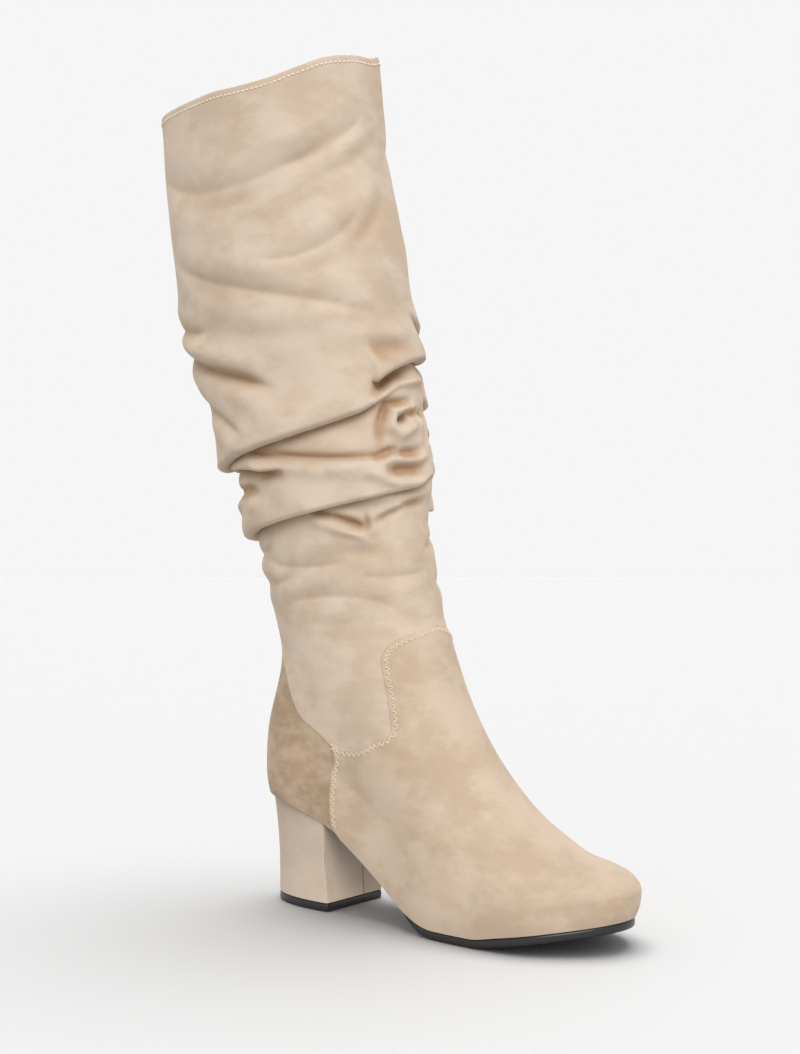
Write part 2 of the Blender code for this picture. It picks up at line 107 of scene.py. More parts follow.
# Sizes of the finish
CLOTH = 0.0011
OVERLAP = 0.0009
HEM = 0.014
FRONT_SEAM = 16
TOP_SEAM = 90
STITCH_LENGTH = 0.0023
STITCH_PITCH = 0.0031
STITCH_THICK = 0.00048
STITCH_INSET = 0.0026
ZIGZAG_PITCH = 0.0017
ZIGZAG_HALF = 0.0013
COLLAR_STITCH = {"pitch": 0.0027, "length": 0.0018, "thick": 0.00058}
ZIP_STITCH_SIDE = 0.0075
VAMP_TOP_REACH = 105
SHAFT_UNDERLAP = 0.035
COUNTER_UNDERLAP = 0.03
PANEL_LAP = 3
TUCK = 0.0002
HEEL_WAIST = 0.0012
BREAST_SEAM = 0.0075
BAIL_BEND = 0.0009
DEGREE_MM = 0.92
KNOT_ANGLE = -12
KNOT_LEVEL = 1.32

# Camera and studio
VIEW_ANGLE = 35
CAMERA_PLACE = (0.608, -0.698, 0.205)
CAMERA_YAW = 3.26
CAMERA_PITCH = 0.573
LENS = 54.65
SENSOR = 36
STUDIO_RADIUS = 9.0
STUDIO_HEIGHT = 16.0
FLOOR_GREY = (0.50, 0.50, 0.50, 1)
BLACK = (0, 0, 0, 1)
WHITE = (1, 1, 1, 1)
BACKDROP_GLOW = 0.91
SKY_LOW, SKY_HIGH = 0.58, 0.74


def table(names, *rows):
    """A table with named columns."""
    return dict(zip(names.split(), np.array(rows, float).T))


# Underside of the sole: share of the heel height and share of the toe spring
SOLE_LINE = table(
    "along pitch spring",
    (0.00, 1.000, 0.00),
    (0.12, 0.920, 0.00),
    (0.24, 0.775, 0.00),
    (0.34, 0.510, 0.00),
    (0.40, 0.350, 0.00),
    (0.46, 0.190, 0.00),
    (0.52, 0.070, 0.00),
    (0.57, 0.012, 0.00),
    (0.60, 0.000, 0.00),
    (0.70, 0.000, 0.00),
    (0.78, 0.000, 0.26),
    (0.88, 0.000, 0.60),
    (1.00, 0.000, 1.00),
)

# Plan of the last: sideways shift and half widths, shares of the ball width
LAST = table(
    "along shift outer inner",
    (0.00, 0.000, 0.385, 0.385),
    (0.12, 0.000, 0.390, 0.390),
    (0.24, 0.000, 0.375, 0.370),
    (0.34, 0.000, 0.345, 0.325),
    (0.43, 0.000, 0.365, 0.325),
    (0.52, 0.000, 0.430, 0.380),
    (0.60, 0.000, 0.478, 0.455),
    (0.68, 0.000, 0.494, 0.496),
    (0.76, 0.008, 0.500, 0.490),
    (0.84, 0.026, 0.485, 0.462),
    (0.92, 0.050, 0.450, 0.430),
    (1.00, 0.060, 0.430, 0.410),
)

# Side view of the foot: reach from the ankle to toe and heel, and rise from the sole edge to the ankle
PROFILE = table(
    "level front_reach front_rise back_reach back_rise",
    (0.00, 0.972, 0.000, 0.80, 0.00),
    (0.08, 0.993, 0.038, 0.91, 0.06),
    (0.16, 0.999, 0.078, 0.99, 0.13),
    (0.24, 0.980, 0.122, 1.00, 0.20),
    (0.32, 0.930, 0.160, 0.95, 0.29),
    (0.40, 0.850, 0.188, 0.84, 0.37),
    (0.50, 0.700, 0.230, 0.66, 0.47),
    (0.60, 0.540, 0.328, 0.38, 0.57),
    (0.70, 0.378, 0.455, 0.12, 0.67),
    (0.80, 0.245, 0.590, -0.14, 0.78),
    (0.90, 0.118, 0.765, -0.23, 0.89),
    (1.00, 0.000, 1.000, 0.00, 1.00),
)

# Shaft from ankle to collar: shares of the change in depth and width, and how far it drifts from its lean
SHAFT = table(
    "height depth width drift",
    (0.00, 0.00, 0.00, 0.00),
    (0.15, 0.08, 0.19, 0.03),
    (0.22, 0.25, 0.45, 0.04),
    (0.30, 0.50, 0.68, 0.06),
    (0.42, 0.75, 0.85, 0.11),
    (0.52, 1.05, 1.10, 0.19),
    (0.65, 1.16, 1.16, 0.20),
    (0.80, 1.05, 1.04, 0.18),
    (0.93, 1.00, 1.00, 0.09),
    (1.00, 1.00, 1.00, 0.05),
)

# Level of the seam under the shaft, by the turn to either side of the front
SEAM = table(
    "turn level",
    (0, 0.990),
    (27, 0.978),
    (42, 0.965),
    (51, 0.945),
    (55, 0.870),
    (60, 0.805),
    (75, 0.758),
    (90, 0.700),
    (105, 0.650),
    (120, 0.640),
    (135, 0.820),
    (150, 0.935),
    (180, 0.955),
)

# Line of the zip on the inner side
ZIP_LINE = table(
    "level angle",
    (0.00, 110),
    (0.50, 104),
    (1.00, 97),
    (1.50, 90),
)

# Vertical seam between the vamp and the counter on the outer side
REAR_SEAM = table(
    "level angle",
    (0.00, 114),
    (0.05, 117),
    (0.18, 117),
    (0.40, 114),
    (0.65, 105),
    (1.00, 105),
)

# Folds whose cloth hangs over the crease. Three places along the crease as angle and share of the shaft
# height, then in millimetres how far the lip stands out and how high it fades, how deep the trough is and how
# low it fades, how far the lip hangs, and the share of the length that keeps its full depth
ROLLS = table(
    "angle1 height1 angle2 height2 angle3 height3 lip above trough below hang keep",
    # Outer side
    (-190, 0.322, -84, 0.344, -12, 0.398, 5.4, 17, 4.4, 8, 3.0, 0.70),
    (-176, 0.300, -120, 0.302, -80, 0.278, 2.8, 6, 3.8, 6, 1.8, 0.62),
    (-188, 0.176, -86, 0.204, 16, 0.254, 4.8, 14, 4.6, 7, 2.8, 0.78),
    # Knot at the front
    (-28, 0.420, -9, 0.452, 32, 0.470, 4.6, 12, 5.5, 6, 2.8, 0.78),
    # Inner side in front of the zip
    (6, 0.552, 42, 0.530, 90, 0.548, 3.4, 12, 3.6, 8, 1.4, 0.45),
    (16, 0.402, 48, 0.392, 92, 0.430, 3.8, 12, 4.2, 8, 1.8, 0.45),
    (20, 0.342, 48, 0.336, 82, 0.360, 2.0, 7, 2.4, 5, 0.8, 0.40),
    (20, 0.276, 54, 0.270, 92, 0.306, 3.0, 9, 3.2, 6, 1.2, 0.45),
    (18, 0.190, 42, 0.204, 76, 0.246, 2.4, 8, 2.6, 6, 1.0, 0.40),
    # Back, from the zip round
    (94, 0.585, 128, 0.470, 180, 0.345, 4.0, 14, 4.2, 8, 1.8, 0.56),
    (98, 0.446, 134, 0.366, 178, 0.338, 2.8, 9, 3.4, 7, 1.2, 0.50),
    (98, 0.330, 138, 0.262, 192, 0.246, 2.6, 9, 2.8, 6, 1.0, 0.50),
    (100, 0.238, 138, 0.200, 190, 0.164, 2.6, 9, 2.8, 6, 1.0, 0.50),
)

# Soft dips with swells beside them: three places along the dip, then in millimetres its depth and breadth,
# and the swell above and below it, and the share of the length that keeps its full depth
DIPS = table(
    "angle1 height1 angle2 height2 angle3 height3 deep broad above below keep",
    # Outer side of the upper shaft
    (-150, 0.905, -70, 0.822, -8, 0.896, 1.7, 6.5, 1.2, 0.8, 0.50),
    (-58, 0.836, -30, 0.846, -4, 0.905, 1.4, 4.0, 0.8, 0.4, 0.50),
    (-76, 0.678, -43, 0.670, -16, 0.728, 1.5, 4.0, 0.9, 0.6, 0.50),
    (-140, 0.730, -72, 0.610, -8, 0.530, 1.9, 5.5, 1.4, 0.8, 0.55),
    (-168, 0.610, -134, 0.574, -104, 0.560, 2.6, 4.0, 1.8, 1.0, 0.50),
    (-164, 0.556, -112, 0.482, -74, 0.428, 4.4, 4.6, 3.4, 2.2, 0.55),
    (-148, 0.440, -118, 0.396, -98, 0.360, 2.4, 3.4, 1.6, 1.4, 0.45),
    # Between the long overhangs
    (-112, 0.334, -68, 0.298, -18, 0.294, 3.4, 2.4, 0.4, 2.6, 0.66),
    (-160, 0.256, -134, 0.262, -104, 0.258, 2.4, 2.6, 0.6, 1.8, 0.50),
    (-152, 0.226, -138, 0.234, -112, 0.238, 2.0, 3.0, 0.8, 0.6, 0.50),
    # Below the overhangs
    (-80, 0.208, -57, 0.182, -40, 0.160, 3.0, 2.2, 0.8, 1.8, 0.55),
    (-132, 0.134, -90, 0.104, -52, 0.114, 1.3, 3.6, 0.9, 0.7, 0.50),
    (-160, 0.090, -126, 0.080, -92, 0.094, 1.4, 3.2, 0.9, 0.7, 0.50),
    (-120, 0.036, -74, 0.048, -24, 0.014, 1.2, 3.8, 0.8, 0.6, 0.50),
    (-60, 0.084, -30, 0.076, 6, 0.090, 1.2, 3.2, 0.7, 0.6, 0.50),
    (-164, 0.146, -140, 0.140, -112, 0.152, 1.6, 3.0, 1.0, 0.8, 0.50),
    # Inner side
    (-2, 0.118, 26, 0.140, 62, 0.178, 2.0, 3.0, 1.2, 0.8, 0.50),
    (10, 0.060, 40, 0.072, 74, 0.104, 1.3, 3.2, 0.8, 0.6, 0.50),
    (14, 0.716, 52, 0.664, 88, 0.690, 1.8, 4.6, 1.2, 0.8, 0.50),
    (6, 0.860, 44, 0.820, 86, 0.846, 1.4, 4.6, 0.8, 0.6, 0.50),
    (14, 0.470, 44, 0.480, 84, 0.500, 2.4, 3.2, 1.4, 1.0, 0.50),
    # Back
    (104, 0.148, 140, 0.128, 196, 0.112, 2.0, 3.0, 1.2, 0.8, 0.50),
    (106, 0.084, 146, 0.064, 200, 0.052, 1.3, 3.2, 0.8, 0.6, 0.50),
    (94, 0.760, 130, 0.662, 180, 0.606, 3.0, 4.4, 2.0, 1.2, 0.55),
    (98, 0.900, 138, 0.850, 186, 0.880, 1.6, 4.8, 1.0, 0.6, 0.50),
    (110, 0.690, 142, 0.600, 184, 0.520, 2.6, 3.8, 1.6, 1.2, 0.50),
)

# How much higher or lower the collar's cut edge runs than a plain tilted one, in millimetres
COLLAR_EDGE = table(
    "angle rise",
    (-180, 0.0),
    (-135, 0.0),
    (-105, 0.2),
    (-88, 0.1),
    (-70, -2.4),
    (-55, -3.6),
    (-40, -2.4),
    (-28, -0.6),
    (-12, -0.2),
    (4, 0.6),
    (13, 3.2),
    (16, 4.8),
    (19, 3.2),
    (32, 0.6),
    (60, 0.0),
    (180, 0.0),
)

# Short ridges and hollows that run any way, most of them in the knot at the front: three places along each
# as angle and share of the shaft height, then in millimetres how far it stands out, or in where negative,
# and its half width. DEGREE_MM is what a degree measures round the shaft there, in millimetres
PLEATS = table(
    "angle1 height1 angle2 height2 angle3 height3 stand half",
    # Pocket under the upper overhang, and the roll that closes it
    (-24, 0.410, -16, 0.426, -2, 0.444, -6.0, 3.8),
    (-26, 0.392, -11, 0.417, 6, 0.424, 4.2, 2.0),
    (0, 0.438, 9, 0.424, 12, 0.400, 2.6, 3.4),
    # Hollow and loop under it
    (-23, 0.358, -19, 0.381, -3, 0.386, -4.6, 2.0),
    (-27, 0.312, -26, 0.338, -23, 0.364, -2.4, 2.6),
    (-19, 0.340, -16, 0.367, 0, 0.378, 3.8, 2.0),
    (-12, 0.352, -8, 0.359, -4, 0.366, -6.0, 2.0),
    (-1, 0.362, 2, 0.368, 5, 0.366, -3.2, 1.8),
    (-7, 0.363, -4, 0.357, 0, 0.350, 1.8, 1.2),
    (9, 0.366, 10, 0.346, 11, 0.326, -5.0, 2.4),
    (4, 0.370, 5, 0.346, 6, 0.320, 2.2, 1.6),
    (-19, 0.340, -13, 0.327, 4, 0.348, 3.4, 2.6),
    (12, 0.330, 15, 0.290, 14, 0.250, 3.4, 6.0),
    # Creases between the knot and the long overhangs
    (-30, 0.290, -22, 0.299, -18, 0.303, -3.8, 1.8),
    (-16, 0.295, -9, 0.297, 2, 0.301, -4.6, 2.0),
    (-56, 0.279, -22, 0.289, 6, 0.292, 3.0, 2.0),
    (-23, 0.270, -12, 0.273, 4, 0.275, -5.2, 2.4),
    (-34, 0.268, -19, 0.252, 14, 0.259, 3.0, 2.6),
    (-36, 0.221, -8, 0.219, 13, 0.230, 3.4, 3.6),
    (-14, 0.204, -7, 0.205, 6, 0.210, -3.0, 2.2),
    # Under the lower overhang
    (-38, 0.184, -25, 0.197, -10, 0.210, 2.2, 1.8),
    (-36, 0.175, -27, 0.186, -15, 0.197, -2.0, 1.8),
    (-41, 0.186, -41, 0.172, -42, 0.161, -2.4, 1.5),
    (-58, 0.182, -48, 0.171, -42, 0.163, -2.0, 2.6),
    (-37, 0.188, -37, 0.172, -39, 0.157, 1.3, 2.0),
    (-62, 0.166, -49, 0.156, -37, 0.159, 1.8, 2.2),
    (-62, 0.128, -47, 0.126, -36, 0.122, -2.0, 3.2),
    (-70, 0.140, -50, 0.136, -34, 0.134, 1.0, 3.0),
    # Slanting creases of the upper shaft
    (-38, 0.796, -22, 0.812, 2, 0.854, -1.4, 3.4),
    (-32, 0.828, -16, 0.846, 2, 0.888, 0.6, 4.0),
    (-26, 0.662, -14, 0.700, -1, 0.745, -1.6, 3.2),
    (-42, 0.700, -26, 0.718, -8, 0.766, 1.0, 3.8),
    (-60, 0.878, -40, 0.884, -18, 0.918, 0.9, 4.0),
    (-104, 0.800, -84, 0.792, -62, 0.796, -1.3, 4.2),
    (-66, 0.640, -46, 0.636, -30, 0.652, -1.2, 4.4),
    (-100, 0.560, -80, 0.536, -58, 0.524, -1.1, 4.4),
    (-56, 0.560, -40, 0.550, -24, 0.556, 0.9, 4.0),
    (-112, 0.660, -98, 0.630, -86, 0.590, -1.0, 4.0),
    # Dimple above the knot
    (-22, 0.488, -13, 0.490, 0, 0.496, -2.8, 3.0),
    (-23, 0.488, -20, 0.475, -13, 0.464, -1.6, 2.6),
    (-26, 0.504, -12, 0.506, 4, 0.512, 1.4, 3.2),
    # Inner side
    (26, 0.520, 34, 0.470, 56, 0.430, -2.6, 3.6),
    (30, 0.500, 44, 0.462, 66, 0.448, 1.8, 3.4),
    (60, 0.540, 68, 0.500, 80, 0.470, -1.8, 4.0),
    (20, 0.378, 34, 0.366, 54, 0.362, -2.8, 2.8),
    (50, 0.398, 62, 0.372, 70, 0.348, -2.0, 2.6),
    (58, 0.340, 66, 0.318, 82, 0.302, 1.6, 3.0),
    (20, 0.312, 40, 0.316, 62, 0.332, -2.6, 2.6),
    (24, 0.262, 44, 0.250, 66, 0.246, -2.4, 2.8),
    (40, 0.226, 56, 0.232, 78, 0.262, 1.6, 3.0),
    (20, 0.168, 44, 0.176, 70, 0.206, -2.2, 3.0),
    (30, 0.096, 50, 0.108, 78, 0.146, -1.6, 3.4),
    # Back
    (106, 0.520, 122, 0.440, 142, 0.380, 2.2, 4.0),
    (112, 0.560, 140, 0.500, 166, 0.410, -2.6, 4.0),
    (108, 0.400, 128, 0.346, 152, 0.310, -2.6, 3.2),
    (118, 0.316, 142, 0.296, 168, 0.292, 1.8, 3.2),
    (112, 0.290, 132, 0.240, 158, 0.216, -2.4, 3.0),
    (130, 0.222, 156, 0.210, 186, 0.206, 1.6, 3.0),
    (116, 0.186, 138, 0.166, 166, 0.150, -2.2, 3.0),
    (150, 0.420, 168, 0.392, 188, 0.380, -2.2, 3.4),
    # Rear end of the long overhangs on the outer side
    (-146, 0.319, -110, 0.316, -90, 0.300, 1.4, 2.4),
    (-128, 0.292, -104, 0.290, -88, 0.276, -2.0, 2.6),
    (-150, 0.257, -126, 0.256, -108, 0.255, -2.0, 2.4),
    (-150, 0.240, -128, 0.241, -110, 0.238, 1.4, 2.4),
)


def read(rows, column, at):
    """One column of a table between its rows, on a smooth curve that stays within them."""
    places = next(iter(rows.values()))
    values = rows[column]
    slopes = np.diff(values) / np.diff(places)
    product = slopes[1:] * slopes[:-1]
    total = np.where(product > 0, slopes[1:] + slopes[:-1], 1)
    inner = np.where(product > 0, 2 * product / total, 0)
    tangents = np.concatenate([slopes[:1], inner, slopes[-1:]])
    at = np.clip(at, places[0], places[-1])
    row = np.clip(np.searchsorted(places, at, side="right") - 1, 0, len(slopes) - 1)
    width = places[row + 1] - places[row]
    t = (at - places[row]) / width
    start, end = values[row], values[row + 1]
    bend = width * (tangents[row] * t * (1 - t) ** 2 - tangents[row + 1] * t**2 * (1 - t))
    return start + (end - start) * t * t * (3 - 2 * t) + bend


def ease(value, low, high):
    """0 below low, 1 above high, smooth between."""
    t = np.clip((value - low) / (high - low), 0, 1)
    return t * t * (3 - 2 * t)


def around(angle, line=0.0):
    """Degrees round the leg from a line up it, -180 to 180."""
    return (angle - line + 180) % 360 - 180


def x_of(along):
    """A share of the foot's length, from the heel, as a place along the boot."""
    return FOOT_LENGTH * along - HEEL_SET


def along_of(x):
    """The share of the foot's length at a place along the boot."""
    return (x + HEEL_SET) / FOOT_LENGTH


def tread(along):
    """Height of the sole's underside over the floor."""
    pitch, spring = read(SOLE_LINE, "pitch", along), read(SOLE_LINE, "spring", along)
    return HEEL_HEIGHT * pitch + TOE_SPRING * spring


def seat(along):
    """Height of the upper's lower edge."""
    return tread(along) + SOLE_THICKNESS + SEAT_GAP


ANKLE_FRONT = (ANKLE_SET + ANKLE_DEPTH / 2, ANKLE_HEIGHT + ANKLE_TILT / 2)
ANKLE_BACK = (ANKLE_SET - ANKLE_DEPTH / 2, ANKLE_HEIGHT - ANKLE_TILT / 2)


def front_line(level):
    """Side view of the foot's front, from the toe up over the instep to the ankle: x and z."""
    x = ANKLE_FRONT[0] + (x_of(1) - ANKLE_FRONT[0]) * read(PROFILE, "front_reach", level)
    low = seat(along_of(x))
    return x, low + (ANKLE_FRONT[1] - low) * read(PROFILE, "front_rise", level)


def back_line(level):
    """Side view of the foot's back, from the heel seat up to the ankle: x and z."""
    x = ANKLE_BACK[0] + (x_of(0) - ANKLE_BACK[0]) * read(PROFILE, "back_reach", level)
    return x, seat(0) + (ANKLE_BACK[1] - seat(0)) * read(PROFILE, "back_rise", level)


def rounding(share, power):
    """Half width left at a share of the way to an edge, 1 to 0, fuller where the power is higher."""
    return (1 - np.clip(share, 0, 1) ** power) ** 0.5


def half_width(x, z, level, side):
    """Half width of the foot at a place of its side view, on the outer (-1) or inner (1) side."""
    along = along_of(x)
    width = BALL_WIDTH * np.where(side < 0, read(LAST, "outer", along), read(LAST, "inner", along))
    toe_level, toe_start, heel_start = 0.16, x_of(0.78), x_of(0.15)
    ridge_x, ridge_z = front_line(np.linspace(toe_level, 1, 240))
    leg = ridge_z[-1] + (ridge_x[-1] - x) * 6
    ridge = np.where(x < ridge_x[-1], leg, np.interp(x, ridge_x[::-1], ridge_z[::-1]))
    widest = seat(along) + WIDEST_ABOVE_SOLE
    arch = rounding((z - widest) / np.maximum(ridge - widest, 1e-4), 2.1 - 0.5 * ease(along, 0.74, 0.95))
    under = np.clip((widest - z) / WIDEST_ABOVE_SOLE, 0, 1)
    tip = np.where(level < toe_level, front_line(level)[0], x_of(1))
    toe = rounding((x - toe_start) / (tip - toe_start), 2.1)
    back = back_line(np.minimum(level, 1))[0]
    heel = rounding((heel_start - x) / (heel_start - back), 2.2)
    return width * arch * (1 - 0.055 * under**2) * toe * heel


def foot_place(level, angle):
    """A place on the foot part of the upper, without folds."""
    turn = np.radians(angle)
    share = (1 + np.cos(turn)) / 2
    front = front_line(level)
    back = back_line(level)
    toe = front_line(0)
    heel = back_line(0)
    base_x = heel[0] + (toe[0] - heel[0]) * share
    sag = seat(along_of(base_x)) - heel[1] - (toe[1] - heel[1]) * share
    x = back[0] + (front[0] - back[0]) * share
    z = back[1] + (front[1] - back[1]) * share + (1 - level) * sag
    side = np.where(np.sin(turn) < 0, -1.0, 1.0)
    foot = half_width(x, z, level, side)
    leg = ANKLE_WIDTH / 2 * np.abs(np.sin(turn))
    foot = np.maximum(foot, leg / 2)
    blend = ease(level, 0.40, 1.0)
    shift = BALL_WIDTH * read(LAST, "shift", along_of(x))
    y = shift * (1 - blend) + side * (foot + (leg - foot) * blend)
    return np.stack([x, y, z], axis=-1)


def shaft_place(level, angle):
    """A place on the shaft, without folds."""
    turn = np.radians(around(angle))
    height = level - 1
    depth = ANKLE_DEPTH + (SHAFT_DEPTH - ANKLE_DEPTH) * read(SHAFT, "depth", height)
    width = ANKLE_WIDTH + (SHAFT_WIDTH - ANKLE_WIDTH) * read(SHAFT, "width", height)
    tilt = ANKLE_TILT + (COLLAR_TILT - ANKLE_TILT) * height
    ridge = FRONT_RIDGE * np.exp(-((turn / 0.45) ** 2)) * ease(height, 0.1, 0.6)
    lean = LEAN_BACK * (height + read(SHAFT, "drift", height))
    x = ANKLE_SET - lean + depth / 2 * np.cos(turn) + ridge
    y = -LEAN_OUT * height + width / 2 * np.sin(turn)
    z = ANKLE_HEIGHT + SHAFT_HEIGHT * height + tilt / 2 * np.cos(turn)
    z = z - COLLAR_DIP * np.sin(turn) ** 2 * ease(height, 0.2, 1.0)
    return np.stack([x, y, z], axis=-1)


def base_place(level, angle):
    """A place on foot or shaft, without folds."""
    level, angle = np.broadcast_arrays(np.asarray(level, float), np.asarray(angle, float))
    foot = foot_place(np.clip(level, 0, 1), angle)
    shaft = shaft_place(np.maximum(level, 1), angle)
    return np.where((level <= 1)[..., None], foot, shaft)


def outward(level, angle):
    """Unit normals of the surface without folds."""
    step = 0.004
    up = base_place(np.minimum(level + step, 2), angle) - base_place(np.maximum(level - step, 0), angle)
    round_leg = base_place(level, angle + 0.5) - base_place(level, angle - 0.5)
    normal = np.cross(round_leg, up)
    return normal / np.linalg.norm(normal, axis=-1, keepdims=True)


def beside(row, level, angle):
    """Millimetres above a fold's line at each place, and how much of the fold is there."""
    a1, h1, a2, h2, a3, h3 = row[:6]
    middle = (a1 + a3) / 2
    away = around(angle, middle) + middle
    line = (
        h1 * (away - a2) * (away - a3) / ((a1 - a2) * (a1 - a3))
        + h2 * (away - a1) * (away - a3) / ((a2 - a1) * (a2 - a3))
        + h3 * (away - a1) * (away - a2) / ((a3 - a1) * (a3 - a2))
    )
    share = 1 - ease(np.abs(away - middle) / (a3 - a1) * 2, row[-1], 1.0)
    return (level - 1 - line) * SHAFT_HEIGHT * 1000, share


def pleat(row, level, angle):
    """How much of a pleat's stand is at each place."""
    a1, h1, a2, h2, a3, h3, _, half = row
    across = around(angle, a2) * DEGREE_MM
    up = (level - 1 - h2) * SHAFT_HEIGHT * 1000
    full = np.zeros(np.broadcast_shapes(across.shape, up.shape))
    for end, height in ((a1, h1), (a3, h3)):
        x, y = (end - a2) * DEGREE_MM, (height - h2) * SHAFT_HEIGHT * 1000
        along = np.clip((across * x + up * y) / (x * x + y * y), 0, 1)
        near = ((across - along * x) ** 2 + (up - along * y) ** 2) / (1.25 * half) ** 2
        full = np.maximum(full, np.exp(-near) * (1 - 0.5 * ease(along, 0.3, 1.1)))
    return full


def folds(level, angle):
    """How far the folds push a place outwards and lift it, in metres."""
    push, rise = np.zeros(level.shape), np.zeros(level.shape)
    # A roll's lip turns over the trough below it and settles back into the cloth above
    for row in zip(*ROLLS.values()):
        lip, above, trough, below, hang = row[6:11]
        over, share = beside(row, level, angle)
        under = 0.8 + 0.28 * (lip + trough)
        turn = np.clip(over / under, 0, 1) * math.pi
        higher = np.maximum(over - under, 0)
        out = (lip + trough) * (1 - np.cos(turn)) / 2 - trough * np.exp(np.minimum(over, 0) / below)
        out -= lip * (1 - np.exp(-((higher / above) ** 2)))
        sink = hang * np.sin(turn) + np.clip(over, 0, under) * np.exp(-((higher / above) ** 2))
        push += share * out
        rise -= share * sink
    # A dip lies between two swells
    for row in zip(*DIPS.values()):
        deep, broad, above, below = row[6:10]
        over, share = beside(row, level, angle)
        dip = deep * np.exp(-np.sqrt((over / broad) ** 2 + 0.09) * 1.6 + 0.48)
        swell = above * np.exp(-(((over - 2.6 * broad) / (1.8 * broad)) ** 2))
        swell += below * np.exp(-(((over + 2.4 * broad) / (1.6 * broad)) ** 2))
        push += share * (swell - dip)
    for row in zip(*PLEATS.values()):
        push += row[6] * pleat(row, level, angle)
    return push / 1000, rise / 1000


def fold_shade_of(level, angle):
    """How far into a fold a place is, 0 to 1, for the painted shade in the folds, which also stands for the
    nap lying the other way there and looking browner.
    """
    deep_in = np.zeros(level.shape)
    for row in zip(*ROLLS.values()):
        over, share = beside(row, level, angle)
        below = np.exp(np.minimum(over, 0) / (0.45 * row[9])) * (1 - ease(over, 0.5, 2.5))
        deep_in = np.maximum(deep_in, share * below * min(1, row[8] / 5))
    for row in zip(*DIPS.values()):
        deep, broad = row[6:8]
        over, share = beside(row, level, angle)
        near = np.exp(-(((over - 0.4 * broad) / (1.1 * broad)) ** 2))
        deep_in += share * near * np.clip(deep / 4.2, 0, 1) ** 1.6
    for row in zip(*PLEATS.values()):
        deep_in -= np.clip(row[6], -3.5, 1.0) / 3.5 * pleat(row, level, angle)
    crumpled = 0.16 * np.exp(-(((level - KNOT_LEVEL) / 0.13) ** 2))
    return np.clip(deep_in + crumpled, 0, 1)


def fold_rows(angles, count):
    """Levels of the shaft's rows at each angle, closest together at the overhanging folds."""
    level = np.linspace(1, 2, 1400)[:, None]
    close = np.ones((len(level), len(angles)))
    for row in zip(*ROLLS.values()):
        over, share = beside(row, level, angles[None, :])
        close += 3.6 * share * np.exp(-(((over - 1.5) / 3.5) ** 2))
    for row in zip(*DIPS.values()):
        over, share = beside(row, level, angles[None, :])
        close += 3.0 / row[7] * share * np.exp(-((over / (2 * row[7])) ** 2))
    knot = np.exp(-((around(angles, KNOT_ANGLE) / 34) ** 2))
    close += 1.5 * knot * np.exp(-(((level - KNOT_LEVEL) / 0.16) ** 2))
    walked = np.cumsum(close, axis=0)
    walked = (walked - walked[0]) / (walked[-1] - walked[0])
    shares = np.linspace(0, 1, count)
    return np.stack([np.interp(shares, column, level[:, 0]) for column in walked.T], axis=1)


def ripple(level, angle):
    """Slow unevenness of the shaft's cloth, in metres."""
    turn = np.radians(angle)
    height = (level - 1) * SHAFT_HEIGHT
    wave = np.sin(3 * turn + 55 * height + 1.3) + 0.7 * np.sin(5 * turn - 90 * height + 0.4)
    wave += 0.5 * np.sin(8 * turn + 140 * height + 2.2) + 0.4 * np.sin(2 * turn - 160 * height)
    return 0.0004 * wave * ease(level, 0.9, 1.2) * (1 - 0.6 * ease(level, 1.85, 2.0))


def seam_shape(level, angle):
    """The pressed front with its seam, and the lap of the front panel over the back one above the zip."""
    height = level - 1
    away = around(angle, FRONT_SEAM)
    pressed = 0.0034 * np.exp(-np.abs(away) / 7) - 0.0026 * np.exp(-((away / 34) ** 2))
    groove = 0.0007 * np.exp(-((away / 0.9) ** 2))
    front = pressed * ease(height, 0.35, 0.8) - groove * ease(height, 0.0, 0.03)
    behind = around(angle, TOP_SEAM)
    lap = 0.0010 * (1 - ease(behind, 0.0, 1.0)) * np.exp(-((np.minimum(behind, 0) / 16) ** 2))
    return front + lap * ease(height, ZIP_TOP + 0.01, ZIP_TOP + 0.05)


def collar_line(level, angle):
    """How much higher or lower the collar's cut edge runs than a plain tilted one, in metres."""
    return ease(level, 1.78, 2.0) * read(COLLAR_EDGE, "rise", around(angle)) / 1000


def upper_place(level, angle, lift=0.0):
    """A place on the upper with its folds, lifted off its outer face."""
    level, angle, lift = np.broadcast_arrays(
        np.asarray(level, float), np.asarray(angle, float), np.asarray(lift, float)
    )
    push, rise = folds(level, angle)
    fade = ease(level, 0.62, 1.0)
    out = push * fade + ripple(level, angle) + seam_shape(level, angle) + lift
    place = base_place(level, angle) + outward(level, angle) * out[..., None]
    place[..., 2] += rise * fade + collar_line(level, angle)
    return place


